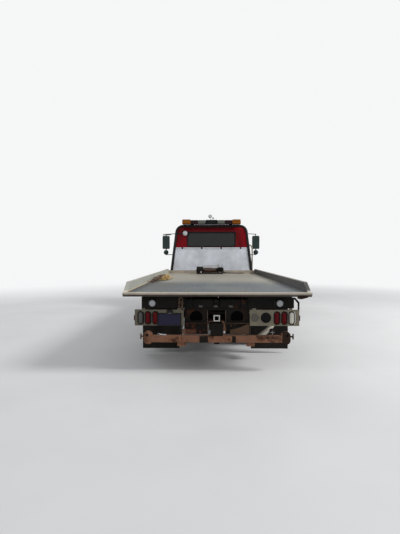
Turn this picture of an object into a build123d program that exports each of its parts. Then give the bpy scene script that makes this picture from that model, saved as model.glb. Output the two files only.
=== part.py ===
# Rollback tow truck: a conventional red cab, a sliding and tilting bed, and a stowed wheel lift.
# Millimetres. +Y is forward, +X is the truck's right side, +Z is up.
# The origin is on the ground under the middle of the truck's length.
from build123d import *
import math
import os

os.makedirs("parts", exist_ok=True)

# Layout along the truck
FRONT_OVERHANG = 740.0
WHEELBASE = 5870.0
REAR_OVERHANG = 2000.0
OVERALL = FRONT_OVERHANG + WHEELBASE + REAR_OVERHANG
FRONT_Y = OVERALL / 2
FRONT_AXLE_Y = FRONT_Y - FRONT_OVERHANG
REAR_AXLE_Y = FRONT_AXLE_Y - WHEELBASE
REAR_Y = REAR_AXLE_Y - REAR_OVERHANG

# Wheels
TYRE_R = 500.0
TYRE_W = 255.0
TYRE_WALL = 46.0
BEAD_W = 30.0
RIM_R = 286.0
RIM_FLANGE = 14.0
RIM_LIP = 15.0
RIM_WALL = 10.0
SEAT_GAP = 0.3
HUB_R = 105.0
HUB_OUT = 170.0
HAND_HOLES = 10
HAND_HOLE_R = 29.0
HAND_HOLE_PCD = 400.0
FRONT_WHEEL_X = 1010.0
DUAL_CENTRE_X = 905.0
DUAL_SPACING = 330.0
AXLE_Z = TYRE_R
DISC_THICK = 12.0
FRONT_DISH = 96.0
REAR_DISH = DUAL_SPACING / 2 - DISC_THICK

# Chassis
FRAME_W = 860.0
FRAME_TOP = 860.0
RAIL_DEEP = 254.0
RAIL_FLANGE = 76.0
RAIL_WALL = 9.0
FRAME_REAR_Y = REAR_Y + 710.0
FRAME_FRONT_Y = FRONT_Y - 120.0
KINGPIN_X = 880.0
KINGPIN_R = 22.0
KNUCKLE_GAP = 0.3
FRONT_SPRING_X = 392.0
SPRING_W = 76.0

# Bed
BED_LONG = 5790.0
BED_W = 2590.0
BED_PLATE = 10.0
BED_BEAM = 56.0
BED_SILL = 40.0
SILL_X = 390.0
SILL_W = 90.0
EDGE_DEEP = 60.0
EDGE_THICK = 56.0
EDGE_WALL = 8.0
SIDE_RAIL_H = 130.0
SIDE_RAIL_W = 50.0
SIDE_RAIL_SLOPE = 220.0
BED_FRONT_Y = REAR_Y + BED_LONG
LIP_H = 92.0
LIP_DEEP = 80.0

# Headboard
HOOP_TUBE = 76.0
HOOP_BASE_W = 2390.0
HOOP_TOP_W = 2060.0
HOOP_TOP_Z = 2512.0
HOOP_CORNER = 190.0
PANEL_TOP_Z = 1855.0
PANEL_THICK = 5.0
PANEL_NOTCH_R = 27.0
PANEL_NOTCH_X = (-845.0, -281.0, 281.0, 845.0)

# Tilt frame
FRAME_GAP = 8.0
SLIDE_GAP = 6.0
TILT_RAIL_W = 100.0
TILT_RAIL_H = 120.0
TILT_WALL = 9.0
TILT_Z = FRAME_TOP + FRAME_GAP
BED_TOP = TILT_Z + TILT_RAIL_H + SLIDE_GAP + BED_SILL + BED_BEAM + BED_PLATE
TILT_FRONT_Y = BED_FRONT_Y - 150.0
TILT_REAR_Y = REAR_Y + 130.0
TILT_X = 390.0
PIVOT_Y = REAR_Y + 700.0
PIVOT_R = 30.0
PIVOT_Z = TILT_Z + 45.0

# Cab
CAB_GAP = 100.0
CAB_BACK_Y = BED_FRONT_Y + CAB_GAP
CAB_LONG = 1480.0
CAB_W = 2150.0
CAB_ROOF_W = 1970.0
CAB_FLOOR_Z = FRAME_TOP + 100
CAB_ROOF_Z = 2490.0
BELT_Z = 1650.0
CAB_WALL = 60.0
COWL_Y = CAB_BACK_Y + CAB_LONG
GAP = 8.0


def block(x0, x1, y0, y1, z0, z1):
    """A box between two corners."""
    return Pos((x0 + x1) / 2, (y0 + y1) / 2, (z0 + z1) / 2) * Box(x1 - x0, y1 - y0, z1 - z0)


def rod_x(x0, x1, y, z, radius):
    """A round bar along X."""
    return Pos((x0 + x1) / 2, y, z) * Rot(0, 90, 0) * Cylinder(radius, x1 - x0)


def rod_y(y0, y1, x, z, radius):
    """A round bar along Y."""
    return Pos(x, (y0 + y1) / 2, z) * Rot(90, 0, 0) * Cylinder(radius, y1 - y0)


def rod_z(z0, z1, x, y, radius):
    """A round bar along Z."""
    return Pos(x, y, (z0 + z1) / 2) * Cylinder(radius, z1 - z0)


def side_prism(points, x0, x1):
    """A side-view outline of (y, z) points, drawn across the truck from x0 to x1."""
    wire = Polyline([(x0, y, z) for y, z in points], close=True)
    return extrude(make_face(wire), amount=x1 - x0, dir=(1, 0, 0))


def rear_prism(points, y0, y1):
    """A rear-view outline of (x, z) points, drawn along the truck from y0 to y1."""
    wire = Polyline([(x, y0, z) for x, z in points], close=True)
    return extrude(make_face(wire), amount=y1 - y0, dir=(0, 1, 0))


def flip(shape):
    """The same piece on the other side of the truck."""
    return mirror(shape, about=Plane.YZ)


def both(shape):
    """A piece and its mirror image, as one node."""
    return Compound(list(shape.solids()) + list(flip(shape).solids()))


def group(*shapes):
    """Pieces that share a node but don't touch."""
    return Compound([solid for shape in shapes for solid in shape.solids()])


NODES = {}


# Wheels and axles
def tyre():
    """A road tyre about the X axis, open to its rim between the beads."""
    half = TYRE_W / 2
    seat = RIM_R + SEAT_GAP
    widest = (seat + TYRE_R) / 2
    crown = TYRE_R - TYRE_WALL
    bead_out = half - RIM_LIP - 2.5
    bead_in = bead_out - BEAD_W
    lines = []
    for side in (-1, 1):
        lines += [
            Line((side * bead_in, seat), (side * bead_out, seat)),
            Line((side * bead_out, seat), (side * bead_out, RIM_R + RIM_FLANGE + 3)),
            ThreePointArc(
                (side * bead_out, RIM_R + RIM_FLANGE + 3), (side * half, widest),
                (side * (half - 10), TYRE_R - 38)
            ),
            Line((side * (half - 10), TYRE_R - 38), (side * (half - 34), TYRE_R)),
            Line((side * bead_in, seat), (side * (half - 32), widest)),
            Line((side * (half - 32), widest), (side * (half - 50), crown)),
        ]
    lines.append(Line((-half + 34, TYRE_R), (half - 34, TYRE_R)))
    lines.append(Line((-half + 50, crown), (half - 50, crown)))
    return revolve(make_face(Plane.XZ * Curve(lines)), axis=Axis.X)


def rim(dish):
    """A steel disc wheel about the X axis. Its disc stands at x = dish, with hand holes round a dome."""
    half = TYRE_W / 2 - RIM_LIP + 7
    profile = Polyline(
        (-half, RIM_R + RIM_FLANGE),
        (-half, RIM_R - RIM_WALL),
        (-half * 0.45, RIM_R - RIM_WALL - 24),
        (half * 0.45, RIM_R - RIM_WALL - 24),
        (half, RIM_R - RIM_WALL),
        (half, RIM_R + RIM_FLANGE),
        (half - 7, RIM_R + RIM_FLANGE),
        (half - 9, RIM_R),
        (half * 0.55, RIM_R),
        (half * 0.4, RIM_R - 24),
        (-half * 0.4, RIM_R - 24),
        (-half * 0.55, RIM_R),
        (-half + 9, RIM_R),
        (-half + 7, RIM_R + RIM_FLANGE),
        close=True,
    )
    barrel = revolve(make_face(Plane.XZ * profile), axis=Axis.X)
    edge = RIM_R - RIM_WALL - 22
    disc = Polyline(
        (dish * 0.35, edge),
        (dish, edge * 0.72),
        (dish, HUB_R - 10),
        (dish + math.copysign(DISC_THICK, dish), HUB_R - 10),
        (dish + math.copysign(DISC_THICK, dish), edge * 0.74),
        (dish * 0.35 + math.copysign(16, dish), edge),
        close=True,
    )
    plate = revolve(make_face(Plane.XZ * disc), axis=Axis.X)
    for n in range(HAND_HOLES):
        turn = Rot(360 / HAND_HOLES * n, 0, 0)
        hole = rod_x(-TYRE_W, TYRE_W, 0, HAND_HOLE_PCD / 2, HAND_HOLE_R)
        plate -= turn * hole
    return barrel + plate


def hub(face, out):
    """A hub along X: a bolt flange against the disc's outer face, a barrel through it, and a stepped cap."""
    flange = rod_x(face, face + 22, 0, 0, HUB_R + 50)
    barrel = rod_x(face - 24, face + 60, 0, 0, HUB_R - 10)
    return flange + barrel + rod_x(face, out, 0, 0, HUB_R * 0.62)


def wheel_places():
    """Front wheels, then twin rear wheels, for the truck's right side."""
    return {
        "front": [Pos(FRONT_WHEEL_X, FRONT_AXLE_Y, AXLE_Z)],
        "rear": [
            Pos(DUAL_CENTRE_X + side * DUAL_SPACING / 2, REAR_AXLE_Y, AXLE_Z) for side in (-1, 1)
        ],
    }


def wheels():
    """Tyres, and rims with their hubs, for both ends and both sides."""
    places = wheel_places()
    round_tyre = tyre()
    front_rim = rim(FRONT_DISH) + hub(FRONT_DISH + DISC_THICK, HUB_OUT)
    inner_rim = rim(REAR_DISH)
    outer_rim = rim(-REAR_DISH)
    centre = Pos(DUAL_CENTRE_X, REAR_AXLE_Y, AXLE_Z) * hub(DISC_THICK, HUB_OUT)
    rear_rims = places["rear"][0] * inner_rim + places["rear"][1] * outer_rim + centre
    right = {
        "tyre_front": places["front"][0] * round_tyre,
        "rim_front": places["front"][0] * front_rim,
        "tyres_rear": group(*[place * round_tyre for place in places["rear"]]),
        "rims_rear": rear_rims,
    }
    for name, shape in right.items():
        NODES[name + "_right"] = shape
        NODES[name + "_left"] = flip(shape)


BEAM_H = 90.0
BEAM_W = 100.0
BEAM_DROP = 70.0
EYE_H = 150.0
EYE_R = 42.0
SPINDLE_R = 40.0


def front_axle():
    """A dropped beam between the kingpins, with the spring seats."""
    low = AXLE_Z - BEAM_DROP
    beam = rear_prism(
        [
            (-KINGPIN_X + EYE_R - 8, AXLE_Z + 35), (-KINGPIN_X + EYE_R - 8, AXLE_Z - 45),
            (-FRONT_SPRING_X - 90, low - BEAM_H / 2), (FRONT_SPRING_X + 90, low - BEAM_H / 2),
            (KINGPIN_X - EYE_R + 8, AXLE_Z - 45), (KINGPIN_X - EYE_R + 8, AXLE_Z + 35),
            (FRONT_SPRING_X + 60, low + BEAM_H / 2), (-FRONT_SPRING_X - 60, low + BEAM_H / 2),
        ],
        FRONT_AXLE_Y - BEAM_W / 2,
        FRONT_AXLE_Y + BEAM_W / 2,
    )
    web = [
        (-KINGPIN_X + 110, AXLE_Z + 12), (-KINGPIN_X + 110, AXLE_Z - 28),
        (-FRONT_SPRING_X - 80, low - BEAM_H / 2 + 18), (FRONT_SPRING_X + 80, low - BEAM_H / 2 + 18),
        (KINGPIN_X - 110, AXLE_Z - 28), (KINGPIN_X - 110, AXLE_Z + 12),
        (FRONT_SPRING_X + 50, low + BEAM_H / 2 - 18), (-FRONT_SPRING_X - 50, low + BEAM_H / 2 - 18),
    ]
    for side in (-1, 1):
        edge = FRONT_AXLE_Y + side * BEAM_W / 2
        beam -= rear_prism(web, min(edge, edge - side * 35), max(edge, edge - side * 35))
    for side in (-1, 1):
        eye = rod_z(AXLE_Z - EYE_H / 2, AXLE_Z + EYE_H / 2, side * KINGPIN_X, FRONT_AXLE_Y, EYE_R)
        beam += eye
        beam -= rod_z(0, 2 * AXLE_Z, side * KINGPIN_X, FRONT_AXLE_Y, KINGPIN_R)
    return beam


def knuckle():
    """The right knuckle: two arms round the beam's eye, the kingpin, the spindle and the brake drum."""
    arm_h = 34.0
    reach = KINGPIN_X + EYE_R + 12
    low = AXLE_Z - EYE_H / 2 - KNUCKLE_GAP - arm_h
    high = AXLE_Z + EYE_H / 2 + KNUCKLE_GAP
    made = block(reach, reach + 24, FRONT_AXLE_Y - 45, FRONT_AXLE_Y + 45, low, high + arm_h)
    for z in (low, high):
        made += rod_z(z, z + arm_h, KINGPIN_X, FRONT_AXLE_Y, EYE_R + 6)
        made += block(KINGPIN_X, reach + 4, FRONT_AXLE_Y - 40, FRONT_AXLE_Y + 40, z, z + arm_h)
    made += rod_z(low, high + arm_h, KINGPIN_X, FRONT_AXLE_Y, KINGPIN_R - 0.05)
    inner = FRONT_WHEEL_X + FRONT_DISH + DISC_THICK - 24
    made += rod_x(reach, inner - SEAT_GAP, FRONT_AXLE_Y, AXLE_Z, SPINDLE_R)
    made += rod_x(reach + 24, reach + 34, FRONT_AXLE_Y, AXLE_Z, 190)
    steer_arm = block(
        KINGPIN_X - 30, KINGPIN_X + 30, FRONT_AXLE_Y - 190, FRONT_AXLE_Y - 20, low, low + arm_h * 0.8
    )
    return made + steer_arm


AXLE_TUBE_R = 70.0
DIFF_R = 205.0
DRUM_R = 208.0
DRUM_X = 585.0


def rear_axle():
    """The rear axle housing: tube, round differential case with its nose, and brake drums."""
    inner = DUAL_CENTRE_X + DISC_THICK - 24 - SEAT_GAP
    made = rod_x(-inner, inner, REAR_AXLE_Y, AXLE_Z, AXLE_TUBE_R)
    case = Pos(0, REAR_AXLE_Y, AXLE_Z) * Rot(90, 0, 0) * Cylinder(DIFF_R, 210)
    nose = Pos(0, NOSE_Y - 120, AXLE_Z) * Rot(-90, 0, 0) * Cone(120, 62, 240)
    made += case + nose
    for side in (-1, 1):
        made += rod_x(*sorted((side * DRUM_X, side * (DRUM_X + 195))), REAR_AXLE_Y, AXLE_Z, DRUM_R)
    return made


LEAF = 11.0
LEAVES = 4


def leaf_pack(x_mid, y_mid, half_long, z_seat, arch):
    """A stack of curved leaves that step in towards the axle, on the truck's right side."""
    made = None
    for n in range(LEAVES):
        reach = half_long * (1 - 0.2 * n)
        drop = arch * (reach / half_long) ** 2
        low = z_seat + LEAF * (LEAVES - 1 - n)
        line = ThreePointArc((0, y_mid - reach, low + drop), (0, y_mid, low), (0, y_mid + reach, low + drop))
        top = ThreePointArc(
            (0, y_mid - reach, low + drop + LEAF), (0, y_mid, low + LEAF),
            (0, y_mid + reach, low + drop + LEAF)
        )
        ends = Line(line @ 0, top @ 0), Line(line @ 1, top @ 1)
        leaf = extrude(make_face([line, top, *ends]), amount=SPRING_W, dir=(1, 0, 0))
        made = leaf if made is None else made + leaf
    return Pos(x_mid - SPRING_W / 2, 0, 0) * made


FRONT_SPRING_HALF = 560.0
FRONT_ARCH = 50.0
REAR_SPRING_X = 488.0
REAR_SPRING_HALF = 660.0
REAR_ARCH = 80.0
EYE_BOSS_R = 26.0


def springs(x_mid, y_mid, half_long, z_seat, arch, hanger):
    """Leaf packs with their end eyes and hangers to the frame rails, on both sides.
    hanger gives a hanger's inner x, outer x and top z."""
    pack = leaf_pack(x_mid, y_mid, half_long, z_seat, arch)
    x0, x1 = x_mid - SPRING_W / 2, x_mid + SPRING_W / 2
    eye_z = z_seat + LEAF * LEAVES + arch
    for side in (-1, 1):
        y = y_mid + side * (half_long + 10)
        pack += rod_x(x0, x1, y, eye_z, EYE_BOSS_R)
        pack += block(hanger[0], hanger[1], y - 18, y + 18, eye_z, hanger[2])
    clamp_z = z_seat + LEAF * LEAVES
    pack += block(x0 - 10, x1 + 10, y_mid - 70, y_mid + 70, clamp_z - 2, clamp_z + 20)
    return both(pack)


SHAFT_R = 48.0
RADIATOR_Y = FRONT_Y - 270.0
ENGINE_BACK_Y = COWL_Y + 20.0
ENGINE_FRONT_Y = RADIATOR_Y - 50.0
ENGINE_W = 560.0
ENGINE_LOW_Z = FRAME_TOP - 300.0
ENGINE_H = 720.0


GEARBOX_LONG = 620.0
GEARBOX_Z = FRAME_TOP - 180.0
NOSE_Y = REAR_AXLE_Y + 310.0


def engine():
    """The engine as one plain block, with its gearbox."""
    body = block(
        -ENGINE_W / 2, ENGINE_W / 2, ENGINE_BACK_Y, ENGINE_FRONT_Y,
        ENGINE_LOW_Z, ENGINE_LOW_Z + ENGINE_H,
    )
    return body + rod_y(ENGINE_BACK_Y - GEARBOX_LONG, ENGINE_BACK_Y, 0, GEARBOX_Z, 150)


def drive_shaft():
    """The shaft from the gearbox to the rear axle's nose, with a collar at each end."""
    box_back = ENGINE_BACK_Y - GEARBOX_LONG
    start = Vector(0, box_back - SEAT_GAP, GEARBOX_Z)
    end = Vector(0, NOSE_Y + SEAT_GAP, AXLE_Z)
    run = end - start
    plane = Plane(origin=start, z_dir=run)
    shaft = extrude(plane * Circle(SHAFT_R), amount=run.length)
    collar = extrude(plane * Circle(SHAFT_R + 14), amount=90)
    collar += extrude(plane.offset(run.length - 90) * Circle(SHAFT_R + 14), amount=90)
    trim = block(-200, 200, NOSE_Y + SEAT_GAP, box_back - SEAT_GAP, 200, 1000)
    return (shaft + collar) & trim


# Chassis
CROSS_Y = (REAR_AXLE_Y - 735, REAR_AXLE_Y + 2045, REAR_AXLE_Y + 2925)
HIGH_CROSS_Y = (CAB_BACK_Y - 105, ENGINE_BACK_Y - GEARBOX_LONG - 165)
CROSS_W = 90.0
CROSS_LOW_Z = FRAME_TOP - 195
HIGH_CROSS_Z = FRAME_TOP - 122
CROSS_TOP_Z = FRAME_TOP - 15
RADIATOR_TOP_Z = 1370.0
BUMPER_H = 240.0
BUMPER_LOW_Z = 400.0
BUMPER_DEEP = 75.0
BUMPER_SWEEP = 110.0
BUMPER_W = 2260.0


def frame_rails():
    """Two C rails, open inwards, each a piece of its own, with the pivot brackets at their rear ends."""
    x1 = FRAME_W / 2
    x0 = x1 - RAIL_FLANGE
    rail = block(x0, x1, FRAME_REAR_Y, FRAME_FRONT_Y, FRAME_TOP - RAIL_DEEP, FRAME_TOP)
    rail -= block(
        x0 - 1, x1 - RAIL_WALL, FRAME_REAR_Y - 1, FRAME_FRONT_Y + 1,
        FRAME_TOP - RAIL_DEEP + RAIL_WALL, FRAME_TOP - RAIL_WALL,
    )
    bracket_in = TILT_X + TILT_RAIL_W / 2 + 6
    bracket = block(x1 - 1, bracket_in + 26, PIVOT_Y + 10, PIVOT_Y + 190, FRAME_TOP - 190, FRAME_TOP - 30)
    bracket += block(bracket_in, bracket_in + 26, PIVOT_Y - 60, PIVOT_Y + 190, FRAME_TOP - 190, PIVOT_Z)
    bracket += rod_x(bracket_in, bracket_in + 26, PIVOT_Y, PIVOT_Z, 60)
    pin = rod_x(TILT_X - TILT_RAIL_W / 2 - 18, bracket_in + 34, PIVOT_Y, PIVOT_Z, PIVOT_R)
    rail += bracket + pin
    return both(rail)


def cross_members():
    """Channel cross members between the rails' webs, with the tilt cylinders' cheeks and pins on one."""
    reach = FRAME_W / 2 - RAIL_WALL - SEAT_GAP
    members = []
    spots = [(y, CROSS_LOW_Z) for y in CROSS_Y] + [(y, HIGH_CROSS_Z) for y in HIGH_CROSS_Y]
    for y, low in spots:
        member = block(-reach, reach, y - CROSS_W / 2, y + CROSS_W / 2, low, CROSS_TOP_Z)
        member -= block(
            -reach - 1, reach + 1, y - CROSS_W / 2 - 1, y + CROSS_W / 2 - 10, low + 10, CROSS_TOP_Z - 10
        )
        if y == CROSS_Y[1]:
            for x in (-TILT_CYL_X, TILT_CYL_X):
                member += cylinder_cheeks(x, TILT_CYL_BASE, TILT_CYL_PIN, TILT_CYL_GAP, y - CROSS_W / 2 + 2)
                member += rod_x(x - TILT_CYL_GAP - 1, x + TILT_CYL_GAP + 1, *TILT_CYL_BASE, TILT_CYL_PIN)
        members.append(member)
    return group(*members)


def bumper():
    """A steel front bumper: a channel with swept-back ends, on brackets to the rails."""
    half = BUMPER_W / 2
    back = FRONT_Y - BUMPER_DEEP
    outline = [
        (-half, back - BUMPER_SWEEP + 40), (-half + 300, FRONT_Y), (half - 300, FRONT_Y),
        (half, back - BUMPER_SWEEP + 40), (half, back - BUMPER_SWEEP),
        (half - 300, back + 30), (-half + 300, back + 30), (-half, back - BUMPER_SWEEP),
    ]
    face = make_face(Polyline([(x, y, BUMPER_LOW_Z) for x, y in outline], close=True))
    beam = extrude(face, amount=BUMPER_H, dir=(0, 0, 1))
    beam += block(-half + 290, half - 290, back - 4, back + 31, BUMPER_LOW_Z, BUMPER_LOW_Z + 12)
    beam += block(
        -half + 290, half - 290, back - 4, back + 31, BUMPER_LOW_Z + BUMPER_H - 12, BUMPER_LOW_Z + BUMPER_H
    )
    for side in (-1, 1):
        x = side * (FRAME_W / 2 - RAIL_FLANGE / 2)
        beam += block(
            x - 34, x + 34, FRAME_FRONT_Y + SEAT_GAP, back + 35,
            BUMPER_LOW_Z + 60, BUMPER_LOW_Z + BUMPER_H - 10,
        )
        beam += block(
            x - 34, x + 34, FRAME_FRONT_Y - 18, FRAME_FRONT_Y + 30,
            BUMPER_LOW_Z + 60, FRAME_TOP - RAIL_DEEP - SEAT_GAP,
        )
    return beam


TANK_Y = (CAB_BACK_Y + 75, CAB_BACK_Y + 1175)
TANK_X = (500.0, 1090.0)
TANK_Z = (430.0, 900.0)
BOX_Y = (REAR_AXLE_Y + 1405, REAR_AXLE_Y + 2565)
BOX_X = (470.0, 1110.0)
BOX_Z = (440.0, 880.0)
FLAP_X = (590.0, 1196.0)
FLAP_Y = REAR_AXLE_Y - 950.0
FLAP_THICK = 12.0
FLAP_LOW_Z = 75.0
FLAP_TOP_Z = 800.0


def radiator():
    """The radiator and its frame, standing on the rails' front ends."""
    core = block(-370, 370, RADIATOR_Y, RADIATOR_Y + 70, FRAME_TOP + 40, RADIATOR_TOP_Z - 30)
    tanks = block(-390, 390, RADIATOR_Y - 8, RADIATOR_Y + 78, FRAME_TOP + SEAT_GAP, FRAME_TOP + 60)
    return core + tanks + block(
        -390, 390, RADIATOR_Y - 8, RADIATOR_Y + 78, RADIATOR_TOP_Z - 60, RADIATOR_TOP_Z
    )


def side_tank(x, y, z, corner):
    """A closed side box with rounded long edges, on arms that reach the frame rail."""
    body = block(x[0], x[1], y[0], y[1], z[0], z[1])
    body = fillet(body.edges().filter_by(Axis.Y), corner)
    for at in (0.2, 0.8):
        arm_y = y[0] + (y[1] - y[0]) * at
        top = min(z[1], FRAME_TOP) - 60
        body += block(
            FRAME_W / 2 + SEAT_GAP, x[0] + 5, arm_y - 40, arm_y + 40, FRAME_TOP - RAIL_DEEP + 10, top
        )
    return body


def steps():
    """Two cab steps a side, with their hangers, below the doors. The left pair is on the fuel tank's side."""
    made = []
    for side in (-1, 1):
        x0, x1 = sorted((side * (TANK_X[1] + 8), side * (TANK_X[1] - 150)))
        made.append(block(x0, x1, DOOR_Y[0], DOOR_Y[1] - 150, TANK_Z[1] + SEAT_GAP, TANK_Z[1] + 28))
    return made


def mud_flaps():
    """Rubber flaps behind the twin wheels, hung from arms on the frame rails."""
    flap = block(FLAP_X[0], FLAP_X[1], FLAP_Y, FLAP_Y + FLAP_THICK, FLAP_LOW_Z, FLAP_TOP_Z)
    return flap


def flap_arms():
    """The arms that carry the flaps, bolted to the rails' outer faces."""
    arm = block(
        FRAME_W / 2 + SEAT_GAP, FLAP_X[1] - 20, FLAP_Y + FLAP_THICK + SEAT_GAP, FLAP_Y + FLAP_THICK + 45,
        FLAP_TOP_Z - 50, FLAP_TOP_Z + 5,
    )
    return both(arm)


def cab_mounts():
    """Blocks that carry the cab's floor on the rails."""
    return both(group(*[
        block(FRAME_W / 2 - 66, FRAME_W / 2 + 4, y - 60, y + 60, FRAME_TOP + SEAT_GAP, CAB_FLOOR_Z - SEAT_GAP)
        for y in MOUNT_Y
    ]))


def chassis():
    """Everything that stays put below the cab and the bed."""
    NODES["chassis_rails"] = frame_rails()
    NODES["cross_members"] = cross_members()
    NODES["front_axle"] = front_axle()
    NODES["knuckle_right"] = knuckle()
    NODES["knuckle_left"] = flip(knuckle())
    NODES["rear_axle"] = group(rear_axle(), drive_shaft())
    rail_low = FRAME_TOP - RAIL_DEEP - SEAT_GAP
    seat = AXLE_Z - BEAM_DROP + BEAM_H / 2 + SEAT_GAP
    front_hanger = (FRAME_W / 2 - RAIL_FLANGE, FRAME_W / 2, rail_low)
    front = springs(FRONT_SPRING_X, FRONT_AXLE_Y, FRONT_SPRING_HALF, seat, FRONT_ARCH, front_hanger)
    seat = AXLE_Z + AXLE_TUBE_R + SEAT_GAP
    rear_hanger = (FRAME_W / 2 + SEAT_GAP, REAR_SPRING_X + SPRING_W / 2, FRAME_TOP - 60)
    rear = springs(REAR_SPRING_X, REAR_AXLE_Y, REAR_SPRING_HALF, seat, REAR_ARCH, rear_hanger)
    NODES["leaf_springs"] = group(front, rear)
    NODES["engine"] = engine()
    NODES["bumper"] = bumper()
    NODES["radiator"] = radiator()
    NODES["fuel_tank"] = flip(side_tank(TANK_X, TANK_Y, TANK_Z, 90))
    battery_box = side_tank(TANK_X, (TANK_Y[0], TANK_Y[0] + 700), TANK_Z, 30)
    NODES["side_boxes"] = group(battery_box, side_tank(BOX_X, BOX_Y, BOX_Z, 16))
    NODES["mud_flaps"] = both(mud_flaps())
    NODES["chassis_brackets"] = group(flap_arms(), hood_hinges(), cab_mounts(), *steps())


# Cab
DOOR_Y = (CAB_BACK_Y + 215, COWL_Y - 135)
DOOR_Z = (CAB_FLOOR_Z + 70, CAB_ROOF_Z - 115)
DOOR_BEND_Z = BELT_Z + 40
DOOR_TOP_Y = COWL_Y - 413
DOOR_CORNER = 45.0
SIDE_WINDOW = [
    (DOOR_Y[0] + 85, BELT_Z + 50), (DOOR_Y[1] - 85, BELT_Z + 50),
    (DOOR_TOP_Y - 54, DOOR_Z[1] - 70), (DOOR_Y[0] + 85, DOOR_Z[1] - 70),
]
REAR_WINDOW_W = 1404.0
REAR_WINDOW_Z = (BELT_Z + 237, CAB_ROOF_Z - 190)
WINDSCREEN = [
    (155 - CAB_W / 2, BELT_Z + 85), (CAB_W / 2 - 155, BELT_Z + 85),
    (CAB_ROOF_W / 2 - 115, CAB_ROOF_Z - 95), (115 - CAB_ROOF_W / 2, CAB_ROOF_Z - 95),
]
WINDOW_CORNER = 40.0
GLASS_IN = 22.0
GLASS_THICK = 6.0

CAB_SIDE = [
    (CAB_BACK_Y, CAB_FLOOR_Z), (CAB_BACK_Y, CAB_ROOF_Z - 110), (CAB_BACK_Y + 70, CAB_ROOF_Z),
    (COWL_Y - 505, CAB_ROOF_Z), (COWL_Y - 365, CAB_ROOF_Z - 40), (COWL_Y, BELT_Z + 10),
    (COWL_Y, CAB_FLOOR_Z),
]
CAB_REAR = [
    (-CAB_W / 2, CAB_FLOOR_Z), (-CAB_W / 2, BELT_Z), (-CAB_ROOF_W / 2 - 18, CAB_ROOF_Z - 90),
    (-CAB_ROOF_W / 2 + 70, CAB_ROOF_Z), (CAB_ROOF_W / 2 - 70, CAB_ROOF_Z),
    (CAB_ROOF_W / 2 + 18, CAB_ROOF_Z - 90), (CAB_W / 2, BELT_Z), (CAB_W / 2, CAB_FLOOR_Z),
]


def cab_solid(inset):
    """The cab's outside shape, or a copy whose walls stand the given distance further in."""
    side = make_face(Polyline([(0, y, z) for y, z in CAB_SIDE], close=True))
    rear = make_face(Polyline([(x, 0, z) for x, z in CAB_REAR], close=True))
    if inset:
        side = offset(side, amount=-inset, kind=Kind.INTERSECTION)
        rear = offset(rear, amount=-inset, kind=Kind.INTERSECTION)
    along = extrude(Pos(-CAB_W, 0, 0) * side, amount=2 * CAB_W, dir=(1, 0, 0))
    across = extrude(rear, amount=OVERALL, dir=(0, 1, 0))
    return along & across


def round_side_prism(points, x0, x1, radius):
    """A side-view outline with rounded corners, drawn across the truck."""
    wire = FilletPolyline([(x0, y, z) for y, z in points], radius=radius, close=True)
    return extrude(make_face(wire), amount=x1 - x0, dir=(1, 0, 0))


def round_rear_prism(points, y0, y1, radius):
    """A rear-view outline with rounded corners, drawn along the truck."""
    wire = FilletPolyline([(x, y0, z) for x, z in points], radius=radius, close=True)
    return extrude(make_face(wire), amount=y1 - y0, dir=(0, 1, 0))


def door_outline(gap):
    """The door's side-view outline, its edges the given distance inside the opening's."""
    return [
        (DOOR_Y[0] + gap, DOOR_Z[0] + gap), (DOOR_Y[1] - gap, DOOR_Z[0] + gap),
        (DOOR_Y[1] - gap, DOOR_BEND_Z), (DOOR_TOP_Y - gap, DOOR_Z[1] - gap),
        (DOOR_Y[0] + gap, DOOR_Z[1] - gap),
    ]


def shrink(points, amount):
    """An outline moved in by the given distance towards its middle, along both axes."""
    a = sum(p[0] for p in points) / len(points)
    b = sum(p[1] for p in points) / len(points)
    return [(p[0] - math.copysign(amount, p[0] - a), p[1] - math.copysign(amount, p[1] - b)) for p in points]


def rear_window_outline():
    """The rear window's rear-view outline."""
    half = REAR_WINDOW_W / 2
    return [
        (-half, REAR_WINDOW_Z[0]), (half, REAR_WINDOW_Z[0]), (half, REAR_WINDOW_Z[1]),
        (-half, REAR_WINDOW_Z[1])
    ]


DOOR_HINGE_X = CAB_W / 2 + 15.0
DOOR_HINGE_Y = DOOR_Y[1] - GAP / 2
DOOR_HINGE_Z = (DOOR_Z[0] + 130, BELT_Z - 90)
DOOR_PIN_R = 7.0
KNUCKLE_R = 14.0
KNUCKLE_H = 30.0


def door_hinges():
    """For the right door: the shell's knuckles with their pins, the door's knuckles, their bores,
    and the notches that leave the knuckles room to turn."""
    pins = None
    knuckles = None
    bores = None
    reliefs = None
    x, y = DOOR_HINGE_X, DOOR_HINGE_Y
    for z in DOOR_HINGE_Z:
        pin = rod_z(z - KNUCKLE_H, z + 2 * KNUCKLE_H, x, y, DOOR_PIN_R)
        for low in (z - KNUCKLE_H, z + KNUCKLE_H):
            pin += rod_z(low, low + KNUCKLE_H, x, y, KNUCKLE_R)
            pin += block(CAB_W / 2 - 2, x + 6, y + GAP / 2, y + 55, low, low + KNUCKLE_H)
            pin += block(x - 6, x + 6, y, y + 30, low, low + KNUCKLE_H)
        low = z + SEAT_GAP
        knuckle_piece = rod_z(low, z + KNUCKLE_H - SEAT_GAP, x, y, KNUCKLE_R)
        knuckle_piece += block(
            CAB_W / 2 - 2, x + 6, y - 55, y - GAP / 2, low, z + KNUCKLE_H - SEAT_GAP
        )
        knuckle_piece += block(x - 6, x + 6, y - 30, y, low, z + KNUCKLE_H - SEAT_GAP)
        bore = rod_z(low - 1, z + KNUCKLE_H, x, y, DOOR_PIN_R + 0.05)
        pins = pin if pins is None else pins + pin
        knuckles = knuckle_piece if knuckles is None else knuckles + knuckle_piece
        relief = rod_z(z - KNUCKLE_H - 5, z + 2 * KNUCKLE_H + 5, x, y, KNUCKLE_R + 5)
        bores = bore if bores is None else bores + bore
        reliefs = relief if reliefs is None else reliefs + relief
    return pins, knuckles, bores, reliefs


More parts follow.
